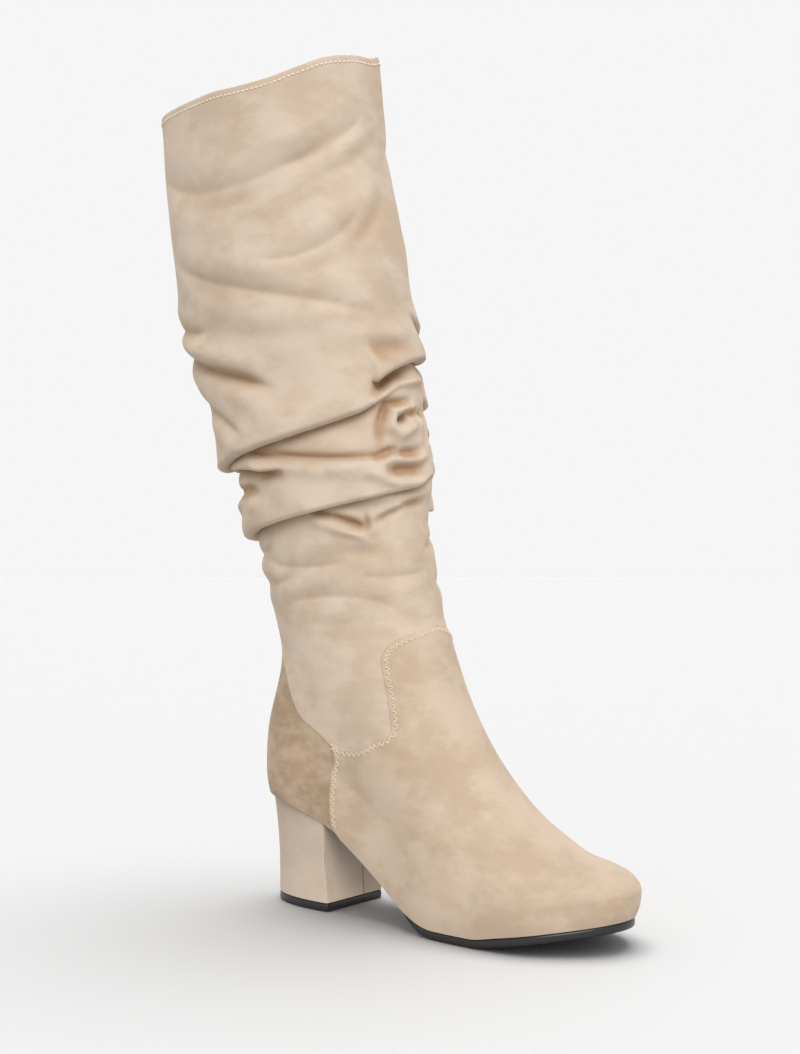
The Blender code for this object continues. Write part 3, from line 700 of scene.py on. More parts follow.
class Nodes:
    """Builds the nodes of a material or world, with shader maths written as Python expressions."""

    def __init__(self, owner, shader="Principled BSDF"):
        owner.use_nodes = True
        self.owner = owner
        self.tree = owner.node_tree
        self.shader = self.tree.nodes[shader]

    def node(self, kind, settings=None, **sockets):
        made = self.tree.nodes.new(kind)
        for name, value in (settings or {}).items():
            setattr(made, name, value)
        for name, value in sockets.items():
            self.feed(made.inputs[name.replace("_", " ")], value)
        return made

    def feed(self, socket, value):
        if isinstance(value, Value):
            self.tree.links.new(value.socket, socket)
        elif isinstance(value, bpy.types.NodeSocket):
            self.tree.links.new(value, socket)
        else:
            socket.default_value = value

    def noise(self, place, scale, detail=3.0, roughness=0.5):
        sockets = {"Vector": place, "Scale": scale, "Detail": detail, "Roughness": roughness}
        return Value(self, self.node("ShaderNodeTexNoise", **sockets).outputs["Fac"])

    def coords(self):
        return self.node("ShaderNodeTexCoord").outputs["Object"]

    def stretched(self, place, scale):
        return self.node("ShaderNodeMapping", Vector=place, Scale=scale).outputs["Vector"]

    def mix(self, share, first, second):
        made = self.node("ShaderNodeMix", {"data_type": "RGBA"}, Factor=share, A=first, B=second)
        return made.outputs["Result"]

    def ramp(self, value, low, high):
        """0 below low, 1 above high, smooth between."""
        smooth = {"interpolation_type": "SMOOTHSTEP"}
        made = self.node("ShaderNodeMapRange", smooth, Value=value, From_Min=low, From_Max=high)
        return Value(self, made.outputs["Result"])

    def bump(self, height, distance, strength):
        made = self.node("ShaderNodeBump", Height=height, Distance=distance, Strength=strength)
        self.set(Normal=made.outputs["Normal"])

    def set(self, **sockets):
        for name, value in sockets.items():
            self.feed(self.shader.inputs[name.replace("_", " ")], value)


class Value:
    """A socket that takes part in sums and products."""

    def __init__(self, nodes, socket):
        self.nodes = nodes
        self.socket = socket

    def maths(self, operation, *terms):
        made = self.nodes.node("ShaderNodeMath", {"operation": operation})
        for socket, term in zip(made.inputs, terms):
            self.nodes.feed(socket, term)
        return Value(self.nodes, made.outputs[0])

    def __add__(self, other):
        return self.maths("ADD", self, other)

    def __sub__(self, other):
        return self.maths("SUBTRACT", self, other)

    def __rsub__(self, other):
        return self.maths("SUBTRACT", other, self)

    def __mul__(self, other):
        return self.maths("MULTIPLY", self, other)

    def __abs__(self):
        return self.maths("ABSOLUTE", self)

    __radd__, __rmul__ = __add__, __mul__


def shade(*colour):
    """A colour given as it looks on a screen, 0 to 255."""
    return tuple(((c / 255 + 0.055) / 1.055) ** 2.4 if c > 10 else c / 255 / 12.92 for c in colour) + (1.0,)


def suede_material(name, light, dark, patches=0.42, fold=shade(172, 136, 101), breast_seam=None):
    """Brushed suede: light and dark patches of nap, painted shade in the folds that also stands for their
    browner nap, with a fine short pile.
    """
    m = Nodes(bpy.data.materials.new(name))
    place = m.coords()
    cloud = m.noise(place, 24.0, 3.0, 0.5)
    strokes = m.noise(m.stretched(place, (1.0, 1.0, 1.8)), 62.0, 3.0, 0.6)
    nap = m.noise(place, 1500.0, 2.0, 0.6)
    patch = m.ramp(cloud * 0.6 + strokes * 0.4, 0.38, 0.58)
    colour = m.mix((1 - patch) * patches, light, dark)
    tan = m.ramp(m.noise(place, 40.0, 2.0, 0.5), 0.54, 0.70)
    colour = m.mix(tan * 0.3, colour, shade(193, 162, 128))
    # Painted shade in the folds: the fold colour is mixed in by the hollow attribute, and also stands for the
    # browner nap there.
    hollow = m.node("ShaderNodeAttribute", {"attribute_name": "hollow"}).outputs["Fac"]
    hollow = m.ramp(Value(m, hollow) + (strokes - 0.5) * 0.35, 0.05, 1.0)
    colour = m.mix(hollow * 0.85, colour, fold)
    speck = m.ramp(nap, 0.35, 0.65)
    colour = m.mix(speck * 0.08, colour, shade(240, 226, 206))
    relief = nap * 0.6 + strokes * 0.9
    if breast_seam is not None:
        where = m.node("ShaderNodeSeparateXYZ", Vector=place).outputs
        away = abs(Value(m, where["Y"]) - breast_seam)
        seam = (1 - m.ramp(away, 0.0002, 0.0009)) * m.ramp(where["X"], 0.010, 0.014)
        colour = m.mix(seam * 0.6, colour, shade(120, 96, 72))
        relief = relief - seam * 1.5
    m.set(Base_Color=colour, Roughness=0.95, Specular_IOR_Level=0.18)
    m.set(Sheen_Weight=0.25, Sheen_Roughness=0.45, Sheen_Tint=shade(245, 232, 214))
    m.bump(relief, 0.00035, 0.6)
    return m.owner


def plain_material(name, colour, roughness, metallic=0.0, grain=0.0, scale=900.0):
    """A finish of one colour, with a fine grain that stands out as far as given."""
    m = Nodes(bpy.data.materials.new(name))
    m.set(Base_Color=colour, Roughness=roughness, Metallic=metallic)
    if grain:
        m.bump(m.noise(m.coords(), scale, 2.0), grain, 0.5)
    return m.owner


def as_object(shape, name, material):
    """Turns a bmesh into an object with its material."""
    mesh = bpy.data.meshes.new(name)
    shape.to_mesh(mesh)
    shape.free()
    mesh.materials.append(material)
    thing = bpy.data.objects.new(name, mesh)
    bpy.context.scene.collection.objects.link(thing)
    return thing


def finish_piece(shape, name, material, body="boot"):
    """Turns a bmesh into a smooth piece that rides on a body."""
    for face in shape.faces:
        face.smooth = True
    thing = as_object(shape, name, material)
    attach(thing, body)
    return thing


def skin(places, closed=False, hollow=None):
    """A bmesh grid laid over rows and columns of places, welded where rows or columns meet.

    hollow marks how deep in a fold each place is, for the painted shade in the suede's folds."""
    rows, columns = places.shape[:2]
    shape = bmesh.new()
    bmesh.ops.create_grid(shape, x_segments=columns - 1, y_segments=rows - 1, size=0.5)
    for vertex, place in zip(shape.verts, places.reshape(-1, 3)):
        vertex.co = place
    if hollow is not None:
        layer = shape.verts.layers.float.new("hollow")
        for vertex, value in zip(shape.verts, hollow.reshape(-1)):
            vertex[layer] = value
    if closed:
        bmesh.ops.remove_doubles(shape, verts=shape.verts, dist=2e-6)
    return shape


def close_round(places):
    """Rows of places with the first column again at their end."""
    return np.concatenate([places, places[:, :1]], axis=1)


def capped(rows):
    """A closed solid of rings, with its ends drawn together to their middles."""
    rows = np.array(rows)
    first, last = (np.broadcast_to(rows[end].mean(axis=0), rows[end].shape) for end in (0, -1))
    return skin(close_round(np.concatenate([[first], rows, [last]])), closed=True)


def turn_in(level, angle, lift, sides):
    """Adds a line of places on the named sides of a panel, so that its edge rounds down to what is below."""
    for side in sides:
        axis = 0 if side in ("low", "high") else 1
        place = 0 if side in ("low", "left") else -1
        grids = []
        for grid, sink in ((level, 0.0), (angle, 0.0), (lift, CLOTH)):
            grid = np.array(grid)
            edge = np.take(grid, [place], axis=axis) - sink
            if sink:
                index = [slice(None), slice(None)]
                index[axis] = place
                grid[tuple(index)] -= 0.3 * sink
            grids.append(np.concatenate([edge, grid] if place == 0 else [grid, edge], axis=axis))
        level, angle, lift = grids
    return grids


def spread(count):
    """Shares from 0 to 1, with one close to either end for the edge's rounding."""
    near, next_one = 0.35 / count, 1.2 / count
    return np.concatenate([[0, near], np.linspace(next_one, 1 - next_one, count - 4), [1 - near, 1]])


def fine(count):
    return max(12, int(count * DETAIL))


def seam_level(angle):
    """Level of the seam under the shaft."""
    return read(SEAM, "level", np.abs(around(angle)))


def zip_angle(level):
    """Angle of the zip's middle."""
    return read(ZIP_LINE, "angle", level)


def rear_edge(level, side):
    """Angle of the vamp's rear edge: at the counter on the outer side, behind the zip on the inner side."""
    return np.where(side < 0, -read(REAR_SEAM, "angle", level), zip_angle(level) + PANEL_LAP)


def build_shaft(material):
    """The folded shaft from under the seam up over the collar's rolled edge to the hem inside."""
    turns = np.linspace(-180, 180, 1441)
    walked = np.cumsum(1 + 1.3 * np.exp(-(((turns + 14) / 34) ** 2)))
    angles = np.interp(np.linspace(walked[0], walked[-1], fine(286) + 1)[:-1], walked, turns)
    turn = np.abs(around(angles))
    low = seam_level(angles) - SHAFT_UNDERLAP * (1 - ease(turn, 100, 112))
    foot = low + (1.0 - low) * spread(fine(44))[:, None]
    level = np.concatenate([foot, fold_rows(angles, fine(285))[1:]])
    angle = np.broadcast_to(angles, level.shape)
    lift = np.zeros(level.shape)
    level, angle, lift = turn_in(level, angle, lift, ["low"])
    places = upper_place(level, angle, lift)
    # How deep in a fold each place is, which the suede turns into painted shade.
    hollow = fold_shade_of(level, angle)
    rim_out, rim_in = places[-1], upper_place(2.0, angles, -WALL)
    up = upper_place(2.0, angles) - upper_place(1.99, angles)
    up /= np.linalg.norm(up, axis=-1, keepdims=True)
    rim = []
    for bend in np.radians([30, 60, 90, 120, 150, 180]):
        way = (rim_out - rim_in) / 2 * math.cos(bend) + up * (WALL * 0.5 * math.sin(bend))
        rim.append((rim_out + rim_in) / 2 + way)
    drops = (0.002, 0.006, HEM - 0.0004, HEM)
    inside = [upper_place(2.0 - drop / SHAFT_HEIGHT, angles, -WALL) for drop in drops]
    turned = upper_place(2.0 - HEM / SHAFT_HEIGHT, angles, -WALL - 0.0006)
    hollow = np.concatenate([hollow, np.zeros((len(rim) + len(inside) + 1, len(angles)))])
    places = np.concatenate([places, rim, inside, [turned]])
    shape = skin(close_round(places), closed=True, hollow=close_round(hollow))
    return finish_piece(shape, "shaft_suede", material)


def build_vamp(material):
    """The vamp with its tongue, lapped over shaft and counter along the seam, turned in under the foot."""
    across = spread(fine(380)) * 2 - 1
    up = spread(fine(190))[:, None]
    top = seam_level(across * VAMP_TOP_REACH)
    level = top * up
    angle = np.abs(across) * rear_edge(level, across)
    lift = np.full(level.shape, OVERLAP)
    level, angle, lift = turn_in(level, angle, lift, ["high", "left", "right"])
    places = upper_place(level, angle, lift)
    under = places[0].copy()
    middle = under.mean(axis=0)
    way = (middle - under) * (1, 1, 0)
    way /= np.linalg.norm(way, axis=-1, keepdims=True)
    under = under + way * WALL
    under[:, 2] = seat(along_of(under[:, 0])) - TUCK
    places = np.concatenate([[under], places])
    return finish_piece(skin(places), "vamp_suede", material)


def build_counter(material):
    """The counter round the heel, from under the vamp on the outer side to the zip."""
    share = spread(fine(200))
    up = np.linspace(0, 1, fine(150))[:, None]
    start, end = zip_angle(0), 360 - read(REAR_SEAM, "angle", 0)
    top = seam_level(start + (end - start) * share) + COUNTER_UNDERLAP
    level = top * up
    low_angle = zip_angle(level) - PANEL_LAP
    high_angle = 360 - read(REAR_SEAM, "angle", level) + PANEL_LAP
    angle = low_angle + (high_angle - low_angle) * share
    lift = np.full(level.shape, -GAP)
    places = upper_place(level, angle, lift)
    under = places[0] + (WALL, 0, 0)
    under[:, 2] = seat(along_of(under[:, 0])) - TUCK
    places = np.concatenate([[under], places])
    return finish_piece(skin(places), "counter_suede", material)


def build_lining(material):
    """The lining cloth against the inside of the upper, up under the hem."""
    angles = np.linspace(0, 360, fine(160), endpoint=False)
    level = np.linspace(0.015, 2.0 - (HEM - 0.002) / SHAFT_HEIGHT, fine(170))[:, None]
    places = upper_place(level, angles[None, :], -WALL - 0.0004)
    shape = skin(close_round(places), closed=True)
    bmesh.ops.reverse_faces(shape, faces=shape.faces)
    return finish_piece(shape, "lining_cloth", material)


def even_ring(points, count, rounding):
    """A closed outline walked in even steps, with its corners rounded over that length."""
    loop = np.concatenate([points, points[:1]])
    walked = np.concatenate([[0], np.cumsum(np.linalg.norm(np.diff(loop, axis=0), axis=1))])
    at = np.linspace(0, walked[-1], count, endpoint=False)
    ring = np.stack([np.interp(at, walked, loop[:, axis]) for axis in (0, 1)], axis=-1)
    window = int(rounding / (walked[-1] / count))
    for _ in range(2):
        ring = sum(np.roll(ring, step, axis=0) for step in range(-window, window + 1)) / (2 * window + 1)
    return ring


def outline_of(x, low, high):
    """An outline as a ring seen from above: along the inner side, and back along the outer side."""
    there = np.stack([x, high], axis=-1)
    back = np.stack([x, low], axis=-1)[::-1]
    return np.concatenate([there, back])


def inset_ring(ring, distance):
    """A ring moved inwards over its whole length."""
    way = np.roll(ring, -1, axis=0) - np.roll(ring, 1, axis=0)
    way /= np.linalg.norm(way, axis=1, keepdims=True)
    return ring + np.stack([-way[:, 1], way[:, 0]], axis=-1) * distance


def padded_slab(rows):
    """A closed solid of rings, lowest first, its ends filled towards their middles.

    A row is a ring and its height, as a number or as a function of the place along the boot."""
    layers = []
    for number in (0, -1):
        ring, height = rows[number]
        middle = ring.mean(axis=0)
        caps = [(middle + (ring - middle) * share, height) for share in (0.0, 0.3, 0.6, 0.85, 0.97)]
        layers.append(caps if number == 0 else caps[::-1])
    places = []
    for ring, height in layers[0] + rows + layers[1]:
        z = height(ring[:, 0]) if callable(height) else np.full(len(ring), height)
        places.append(np.column_stack([ring, z]))
    return skin(close_round(np.array(places)), closed=True)


def build_outsole(material):
    """The thin sole from the heel's front face to the toe, drawn in at the waist, with a rounded edge."""
    start = HEEL_LENGTH / 2 + GAP
    tip = front_line(0)[0]
    share = np.sin(np.linspace(0, math.pi / 2, 90))
    inside = start + (tip - start) * share
    x = start + (tip + SOLE_EDGE - start) * share
    low, high = edge_of(inside)
    inset = (WAIST_INSET * (1 - ease(along_of(x), 0.42, 0.58)) - SOLE_EDGE) * np.sqrt(1 - share**2)
    ring = outline_of(x[::-1], (low + inset)[::-1], (high - inset)[::-1])
    ring = even_ring(ring, fine(360), 0.0012)

    def height_at(down):
        return lambda x: seat(along_of(x)) - SEAT_GAP - sole_depth(along_of(x)) * down

    edge = (
        (0.0016, 1.0),
        (0.0006, 0.99),
        (0.0001, 0.88),
        (0.0, 0.6),
        (0.0, 0.3),
        (0.0002, 0.08),
        (0.0008, 0.0),
    )
    rows = [(inset_ring(ring, inward), height_at(down)) for inward, down in edge]
    return finish_piece(padded_slab(rows), "outsole_rubber", material)


def heel_ring(x_rear, half):
    """Outline of the heel: a flat front face, straight sides and a round back."""
    share = np.sin(np.linspace(0, math.pi / 2, 60))
    front = HEEL_LENGTH / 2
    x = front + (x_rear - front) * share
    width = half * (1 - share**2.6) ** 0.45
    return even_ring(outline_of(x, -width, width), fine(220), 0.0016)


def build_heel(material):
    """The covered block, slightly hollow towards its middle, widening up to the seat."""
    rear_top = back_line(0)[0] + HEEL_INSET
    half_top = float(edge_of(HEEL_LENGTH / 2)[1]) - HEEL_INSET
    bottom = LIFT_THICKNESS + GAP

    def height_at(share):
        return lambda x: bottom + (seat(along_of(x)) - SEAT_GAP - bottom) * share

    rows = []
    for share in np.concatenate([[0, 0.004], np.linspace(0.015, 1, fine(60))]):
        hollow = HEEL_WAIST * math.sin(math.pi * share)
        rear = -HEEL_LENGTH / 2 * (1 - share) + rear_top * share
        half = HEEL_WIDTH / 2 * (1 - share) + half_top * share
        ring = inset_ring(heel_ring(rear, half), hollow + (0.0009 if share == 0 else 0.0))
        rows.append((ring, height_at(share)))
    return finish_piece(padded_slab(rows), "heel_suede", material)


def build_lift(material):
    """The top piece under the heel, flat on the floor, with its edges eased."""
    ring = heel_ring(-HEEL_LENGTH / 2, HEEL_WIDTH / 2)
    top = LIFT_THICKNESS
    edge = (
        (0.0012, 0.0),
        (0.0003, 0.0003),
        (0.0, 0.001),
        (0.0, top - 0.0008),
        (0.0003, top - 0.0001),
        (0.0008, top),
    )
    rows = [(inset_ring(ring, inward), height) for inward, height in edge]
    return finish_piece(padded_slab(rows), "heel_lift_rubber", material)


def build_insole(material):
    """The insole pad on the seat of the upper, clear of its wall."""
    clear = WALL + 0.0008
    rear, tip = back_line(0)[0] + clear, front_line(0)[0] - clear
    share = (1 - np.cos(np.linspace(0, math.pi, 90))) / 2
    x = rear + (tip - rear) * share
    low, high = edge_of(x)
    ends = np.sqrt(np.clip(1 - (2 * share - 1) ** 8, 0, 1))
    low, high = (low + clear) * ends, (high - clear) * ends
    ring = even_ring(outline_of(x[::-1], low[::-1], high[::-1]), fine(240), 0.002)

    def height_at(up):
        return lambda x: seat(along_of(x)) + INSOLE_THICKNESS * up

    edge = ((0.0004, 0.0), (0.0, 0.24), (0.0, 0.72), (0.0004, 0.96), (0.0012, 1.0))
    rows = [(inset_ring(ring, inward), height_at(up)) for inward, up in edge]
    return finish_piece(padded_slab(rows), "insole_pad", material)


def sole_depth(along):
    """Thickness of the sole, thinner at the waist."""
    return WAIST_THICKNESS + (SOLE_THICKNESS - WAIST_THICKNESS) * ease(along, 0.46, 0.56)


def edge_of(x):
    """Lower and higher y of the last's outline at the upper's lower edge."""
    along = along_of(x)
    middle = BALL_WIDTH * read(LAST, "shift", along)
    return middle - half_width(x, seat(along), 0.0, -1), middle + half_width(x, seat(along), 0.0, 1)


def on_upper(level, angle, lift):
    """Places on the folded upper with their unit directions out of it."""
    place = upper_place(level, angle, lift)
    round_leg = upper_place(level, angle + 0.4, lift) - upper_place(level, angle - 0.4, lift)
    above, below = np.minimum(level + 0.003, 2), np.maximum(level - 0.003, 0)
    out = np.cross(round_leg, upper_place(above, angle, lift) - upper_place(below, angle, lift))
    out /= np.linalg.norm(out, axis=-1, keepdims=True)
    return place, out


def walk(level, angle, lift, step, offset=0.0):
    """Even steps along a line over the upper: places, directions along, across and out."""
    place = upper_place(level, angle, lift)
    walked = np.concatenate([[0], np.cumsum(np.linalg.norm(np.diff(place, axis=0), axis=1))])
    at = np.arange(0, walked[-1], step)
    level, angle = np.interp(at, walked, level), np.interp(at, walked, angle)
    place, out = on_upper(level, angle, lift)
    along = np.gradient(place, axis=0)
    along /= np.linalg.norm(along, axis=-1, keepdims=True)
    across = np.cross(along, out)
    across /= np.linalg.norm(across, axis=-1, keepdims=True)
    return place + across * offset, along, across, out


class Stitches:
    """Gathers stitches, and the zip's teeth, in small batches, since each takes longer in a full mesh."""

    BATCH = 60
    FLATNESS = 0.8
    REACH = 0.54

    def __init__(self):
        self.whole = bmesh.new()
        self.batch = bmesh.new()
        self.count = 0

    def add(self, start, end, out, thick):
        way = Vector(end - start)
        side = way.cross(Vector(out)).normalized()
        axes = (side * thick, Vector(out) * thick * self.FLATNESS, way * self.REACH)
        place = Matrix.Translation((start + end) / 2) @ Matrix(axes).transposed().to_4x4()
        bmesh.ops.create_uvsphere(self.batch, u_segments=6, v_segments=5, radius=1.0, matrix=place)
        self.count += 1
        if self.count % self.BATCH == 0:
            self.pour()

    def pour(self):
        mesh = bpy.data.meshes.new("batch")
        self.batch.to_mesh(mesh)
        self.batch.free()
        self.whole.from_mesh(mesh)
        bpy.data.meshes.remove(mesh)
        self.batch = bmesh.new()

    def done(self):
        self.pour()
        bmesh.ops.recalc_face_normals(self.whole, faces=self.whole.faces)
        return self.whole


def running_stitches(
    sewn, level, angle, lift, offset=0.0, pitch=STITCH_PITCH, length=STITCH_LENGTH, thick=STITCH_THICK
):
    """A row of separate stitches beside a line over the upper."""
    for place, along, _, out in zip(*walk(level, angle, lift, pitch, offset)):
        sewn.add(place - along * length / 2, place + along * length / 2, out, thick)


def zigzag_stitches(sewn, level, angle, lift, offset):
    """A zigzag beside a line over the upper."""
    place, _, across, out = walk(level, angle, lift, ZIGZAG_PITCH, offset)
    sway = ZIGZAG_HALF * (1 - 2 * (np.arange(len(place)) % 2))[:, None]
    corner = place + across * sway
    for start, end, way in zip(corner[:-1], corner[1:], out):
        sewn.add(start, end, way, STITCH_THICK)


def build_stitches(seam_thread, edge_thread):
    """Zigzags along the two seams, and single rows at the collar, above the zip and on both its sides."""
    proud = OVERLAP + 0.0001
    seams = Stitches()
    angle = np.linspace(-104, 104, 1400)
    zigzag_stitches(seams, seam_level(angle), angle, proud, STITCH_INSET)
    level = np.linspace(0.63, 0.02, 500)
    zigzag_stitches(seams, level, rear_edge(level, np.full(500, -1.0)), proud, -STITCH_INSET)
    finish_piece(seams.done(), "seam_stitches", seam_thread)
    edge = Stitches()
    angle = np.linspace(0, 360, 1400)
    level = np.full(1400, 2 - STITCH_INSET / SHAFT_HEIGHT)
    running_stitches(edge, level, angle, 0.0001, **COLLAR_STITCH)
    level = np.linspace(1 + ZIP_TOP + 0.03, 1.985, 500)
    running_stitches(edge, level, np.full(500, TOP_SEAM - 1.8), 0.0001)
    for offset in (-ZIP_STITCH_SIDE, ZIP_STITCH_SIDE):
        level = np.linspace(0.03, 1 + ZIP_TOP + 0.02, 900)
        running_stitches(edge, level, zip_angle(level), proud, offset)
    finish_piece(edge.done(), "edge_stitches", edge_thread)


def swept(level, angle, lift, profile, step):
    """A bar that follows a line over the upper, with a profile of places across and out of it."""
    place, _, across, out = walk(level, angle, lift, step)
    rows = [place + across * a + out * o for a, o in profile]
    return capped(np.array(rows).transpose(1, 0, 2))


def build_zip(cloth, dark, coil):
    """The tape with its two rows of teeth, and the cloth lips on both sides."""
    level = np.linspace(0.01, 1 + ZIP_TOP + 0.012, 1500)
    angle = zip_angle(level)
    lip = (
        (0.0048, 0.0),
        (0.0046, 0.0012),
        (0.0036, 0.0018),
        (0.0022, 0.0017),
        (0.0012, 0.0011),
        (0.0010, 0.0),
    )
    mirrored = [(-across, out) for across, out in lip[::-1]]
    for profile, name in ((lip, "zip_lip_back"), (mirrored, "zip_lip_front")):
        shape = swept(level, angle, OVERLAP - 0.0002, profile, 0.0011)
        finish_piece(shape, name, cloth)
    half, thick = 0.0014, 0.0004
    section = ((half, 0.0), (half, thick), (-half, thick), (-half, 0.0))
    tape = swept(level, angle, OVERLAP - 0.0001, section, 0.0015)
    finish_piece(tape, "zip_tape", dark)
    teeth = Stitches()
    place, _, across, out = walk(level, angle, OVERLAP + 0.0005, 0.00075)
    for number, (middle, way, up) in enumerate(zip(place, across, out)):
        way = way if number % 2 else -way
        teeth.add(middle - way * 0.0002, middle + way * 0.0012, up, 0.0004)
    teeth = finish_piece(teeth.done(), "zip_teeth", coil)
    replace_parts(teeth, "zip_chain")


def slider_axes(joint):
    """Hinge of the pull, then the slider's sideways, upward and outward directions."""
    hinge = np.array(joint["pos_m"], float)
    side = -np.array(joint["axis"], float)
    side /= np.linalg.norm(side)
    level = 1 + ZIP_TOP - 0.009
    below, above = (upper_place(level + step, zip_angle(level + step)) for step in (-0.012, 0.012))
    up = above - below
    up -= side * up.dot(side)
    up /= np.linalg.norm(up)
    return hinge, side, up, np.cross(side, up)


def on_slider(axes, across, up, out):
    """A place given from the hinge along the slider's own directions."""
    hinge, side, rise, away = axes
    return hinge + side * across + rise * up + away * out


def bent_strap(axes, points, half, thick):
    """A strap of metal that follows points given as up and out, as wide as twice half."""
    rows = []
    points = np.array(points, float)
    way = np.gradient(points, axis=0)
    way /= np.linalg.norm(way, axis=1, keepdims=True)
    for (up, out), (a, b) in zip(points, way):
        ring = []
        for turn in np.linspace(0, 2 * math.pi, 16, endpoint=False):
            across = half * np.sign(math.cos(turn)) * abs(math.cos(turn)) ** 0.5
            deep = thick / 2 * np.sign(math.sin(turn)) * abs(math.sin(turn)) ** 0.5
            ring.append(on_slider(axes, across, up - b * deep, out + a * deep))
        rows.append(ring)
    return capped(rows)


def build_slider(axes, material):
    """The slider's body, narrower at its lower end, and the bail over the hinge."""
    base = -(SLIDER_THICKNESS + GAP + PULL_THICKNESS / 2)
    shape = bmesh.new()
    bmesh.ops.create_cube(shape, size=1.0)
    for vertex in shape.verts:
        x, y, z = vertex.co
        width = SLIDER_WIDTH * (0.80 if y < 0 else 1.0)
        vertex.co = (x * width, y * SLIDER_LENGTH, base + (z + 0.5) * SLIDER_THICKNESS)
    bmesh.ops.bevel(
        shape, geom=list(shape.edges), offset=0.0008, segments=4, profile=0.5, affect="EDGES", material=-1
    )
    hinge, side, up, out = axes
    place = Matrix.Translation(hinge) @ Matrix((side, up, out)).transposed().to_4x4()
    bmesh.ops.transform(shape, matrix=place, verts=shape.verts)
    bmesh.ops.recalc_face_normals(shape, faces=shape.faces)
    slider = finish_piece(shape, "zip_slider_body", material)
    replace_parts(slider, "zip_slider")
    end = BAIL_LENGTH / 2 - BAIL_THICKNESS / 2
    crown = PULL_THICKNESS / 2 + GAP + BAIL_THICKNESS / 2
    half = [(end, base + SLIDER_THICKNESS - 0.0004)]
    for bend in np.radians(np.linspace(0, 90, 7)):
        half.append((end - BAIL_BEND * (1 - math.cos(bend)), crown - BAIL_BEND * (1 - math.sin(bend))))
    path = [(-up, out) for up, out in half] + half[::-1]
    strap = bent_strap(axes, path, BAIL_WIDTH / 2, BAIL_THICKNESS)
    finish_piece(strap, "zip_slider_bail", material)


def build_pull(axes, material):
    """The tab, its eye round the bail and a raised rim on its face, on the body that swings."""
    bar = PULL_THICKNESS / 2
    hole_half = BAIL_WIDTH / 2 + GAP + 0.0004
    hole_end = BAIL_LENGTH / 2 + 0.0012
    hole_middle = -(hole_end + bar) / 2
    turns = np.linspace(0, 2 * math.pi, 96, endpoint=False)

    def rounded(middle, half_wide, half_long, power):
        x = half_wide * np.sign(np.sin(turns)) * np.abs(np.sin(turns)) ** power
        y = middle + half_long * np.sign(np.cos(turns)) * np.abs(np.cos(turns)) ** power
        return np.stack([x, y], axis=-1)

    hole = rounded(hole_middle, hole_half, (hole_end - bar) / 2, 0.35)
    outer = rounded(-(PULL_LENGTH - bar) / 2, PULL_WIDTH / 2, (PULL_LENGTH + bar) / 2, 0.3)
    outer[:, 0] *= 1 - (1 - PULL_NECK / PULL_WIDTH) * ease(outer[:, 1], -0.0085, -0.0045)

    def pressed(rows, name):
        shape = skin(close_round(np.array(rows)), closed=True)
        bmesh.ops.recalc_face_normals(shape, faces=shape.faces)
        return finish_piece(shape, name, material, body="zip_pull")

    upper = [(1.0, 0.6), (0.96, 0.95), (0.88, 1.0), (0.12, 1.0), (0.04, 0.95), (0.0, 0.6)]
    lower = [(share, -deep) for share, deep in upper[::-1]]
    rows = []
    for share, deep in lower + upper + lower[:1]:
        ring = hole + (outer - hole) * share
        rows.append([on_slider(axes, x, y, bar * deep) for x, y in ring])
    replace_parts(pressed(rows, "zip_pull_tab"), "zip_pull")
    low, high = -PULL_LENGTH + 0.0013, -hole_end - 0.0016
    rim = rounded((low + high) / 2, PULL_WIDTH / 2 - 0.0009, (high - low) / 2, 0.3)
    section = ((-0.0003, -0.0001), (-0.0001, 0.00022), (0.0002, 0.0003), (0.0005, 0.00022), (0.0007, -0.0001))
    rows = []
    for inward, rise in section:
        ring = inset_ring(rim[::-1], inward)
        rows.append([on_slider(axes, x, y, bar + rise) for x, y in ring])
    pressed(rows, "zip_pull_rim")


def stage_piece(shape, name, material):
    """A piece of the studio, which is no part of the boot."""
    thing = as_object(shape, name, material)
    thing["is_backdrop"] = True
    return thing


def add_sun(name, toward, power, width, lit):
    """A soft far light on the named objects alone."""
    data = bpy.data.lights.new(name, "SUN")
    data.energy = power
    data.angle = math.radians(width)
    thing = bpy.data.objects.new(name, data)
    thing.rotation_euler = Vector(toward).to_track_quat("Z", "Y").to_euler()
    bpy.context.scene.collection.objects.link(thing)
    group = bpy.data.collections.new(name + "_lit")
    for piece in lit:
        group.objects.link(piece)
    thing.light_linking.receiver_collection = group


def build_studio(boot):
    """Pale floor and white backdrop, soft key and fill on the boot, and a top light that grounds it."""
    bpy.context.scene.view_settings.view_transform = "Standard"
    floor = bmesh.new()
    bmesh.ops.create_circle(floor, cap_ends=True, segments=64, radius=STUDIO_RADIUS)
    floor = stage_piece(floor, "floor", plain_material("studio_floor", FLOOR_GREY, 0.7))
    floor.visible_diffuse = False
    wall = bmesh.new()
    radius = STUDIO_RADIUS - 0.1
    bmesh.ops.create_cone(wall, segments=96, radius1=radius, radius2=radius, depth=STUDIO_HEIGHT)
    white = Nodes(bpy.data.materials.new("studio_backdrop"))
    white.set(Base_Color=BLACK, Roughness=1.0, Emission_Color=WHITE, Emission_Strength=BACKDROP_GLOW)
    wall = stage_piece(wall, "backdrop", white.owner)
    for ray in ("visible_diffuse", "visible_glossy", "visible_shadow", "visible_transmission"):
        setattr(wall, ray, False)
    world = bpy.data.worlds.new("studio")
    bpy.context.scene.world = world
    sky = Nodes(world, "Background")
    way = sky.node("ShaderNodeTexCoord").outputs["Generated"]
    up = sky.node("ShaderNodeSeparateXYZ", Vector=way).outputs["Z"]
    change = {"From_Min": -0.25, "From_Max": 0.25, "To_Min": SKY_LOW, "To_Max": SKY_HIGH}
    strength = sky.node("ShaderNodeMapRange", Value=up, **change).outputs["Result"]
    sky.set(Color=WHITE, Strength=strength)
    add_sun("key", (0.60, -0.62, 0.62), 1.75, 34, boot)
    add_sun("fill", (-0.35, 0.85, 0.45), 0.8, 60, boot)
    add_sun("floor_light", (-0.08, 0.14, 1.0), 3.35, 46, [floor])


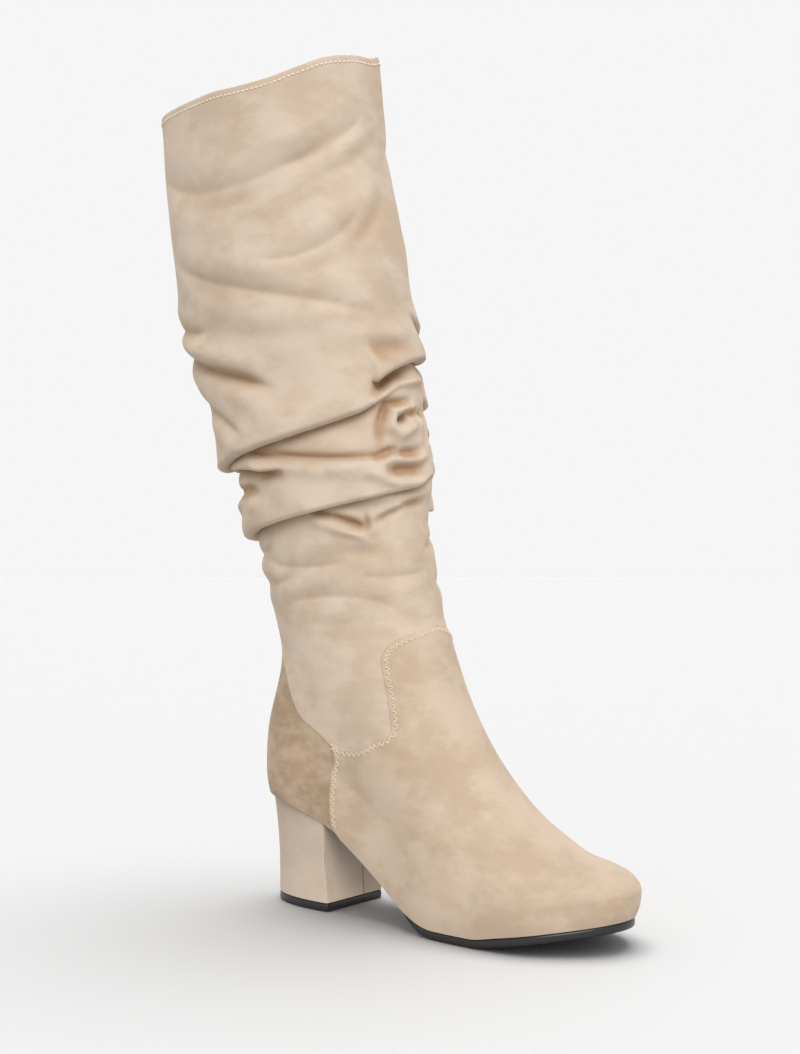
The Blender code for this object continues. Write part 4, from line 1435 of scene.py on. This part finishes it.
def build_camera():
    """The camera stands low, on the outer side before the toe."""
    view = math.radians(VIEW_ANGLE)
    away = Vector((-math.sin(view), math.cos(view), 0))
    right = Vector((math.cos(view), math.sin(view), 0))
    yaw, pitch = math.radians(CAMERA_YAW), math.radians(CAMERA_PITCH)
    aim = away * math.cos(yaw) - right * math.sin(yaw)
    aim = aim * math.cos(pitch) + Vector((0, 0, math.sin(pitch)))
    data = bpy.data.cameras.new("camera")
    data.lens = LENS
    data.sensor_width = SENSOR
    data.sensor_fit = "AUTO"
    thing = bpy.data.objects.new("camera", data)
    thing.location = CAMERA_PLACE
    thing.rotation_euler = aim.to_track_quat("-Z", "Y").to_euler()
    bpy.context.scene.collection.objects.link(thing)
    bpy.context.scene.camera = thing


def build_boot():
    """Every piece with its finish, in place of the part's solids."""
    suede = suede_material("beige_suede", shade(213, 194, 174), shade(178, 151, 124))
    # A darker copy of the shaft's suede: painted shade over the vamp and toe.
    vamp_suede = suede_material("vamp_suede", shade(206, 185, 163), shade(168, 141, 113), 0.45)
    rear_suede = suede_material("rear_suede", shade(192, 168, 143), shade(150, 122, 95), 0.75)
    heel_suede = suede_material(
        "heel_suede", shade(204, 186, 168), shade(184, 163, 143), 0.4, breast_seam=BREAST_SEAM
    )
    thread = plain_material("beige_thread", shade(222, 202, 176), 0.8)
    pale_thread = plain_material("pale_thread", shade(240, 225, 204), 0.8)
    lining = plain_material("lining_cloth", shade(196, 174, 148), 0.95, grain=0.0003)
    rubber = plain_material("dark_rubber", shade(34, 30, 31), 0.34, grain=0.0001, scale=500.0)
    tape = plain_material("zip_tape", shade(92, 72, 54), 0.9)
    coil = plain_material("zip_coil", shade(168, 138, 104), 0.6)
    metal = plain_material("brass", shade(150, 122, 84), 0.3, metallic=1.0)
    build_shaft(suede)
    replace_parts(build_vamp(vamp_suede), "upper")
    build_counter(rear_suede)
    build_lining(lining)
    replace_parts(build_insole(lining), "insole")
    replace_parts(build_outsole(rubber), "outsole")
    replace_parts(build_heel(heel_suede), "heel")
    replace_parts(build_lift(rubber), "heel_lift")
    build_stitches(thread, pale_thread)
    build_zip(suede, tape, coil)
    axes = slider_axes(frame["joints"][0])
    build_slider(axes, metal)
    build_pull(axes, metal)


build_camera()
build_boot()
build_studio(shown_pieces())
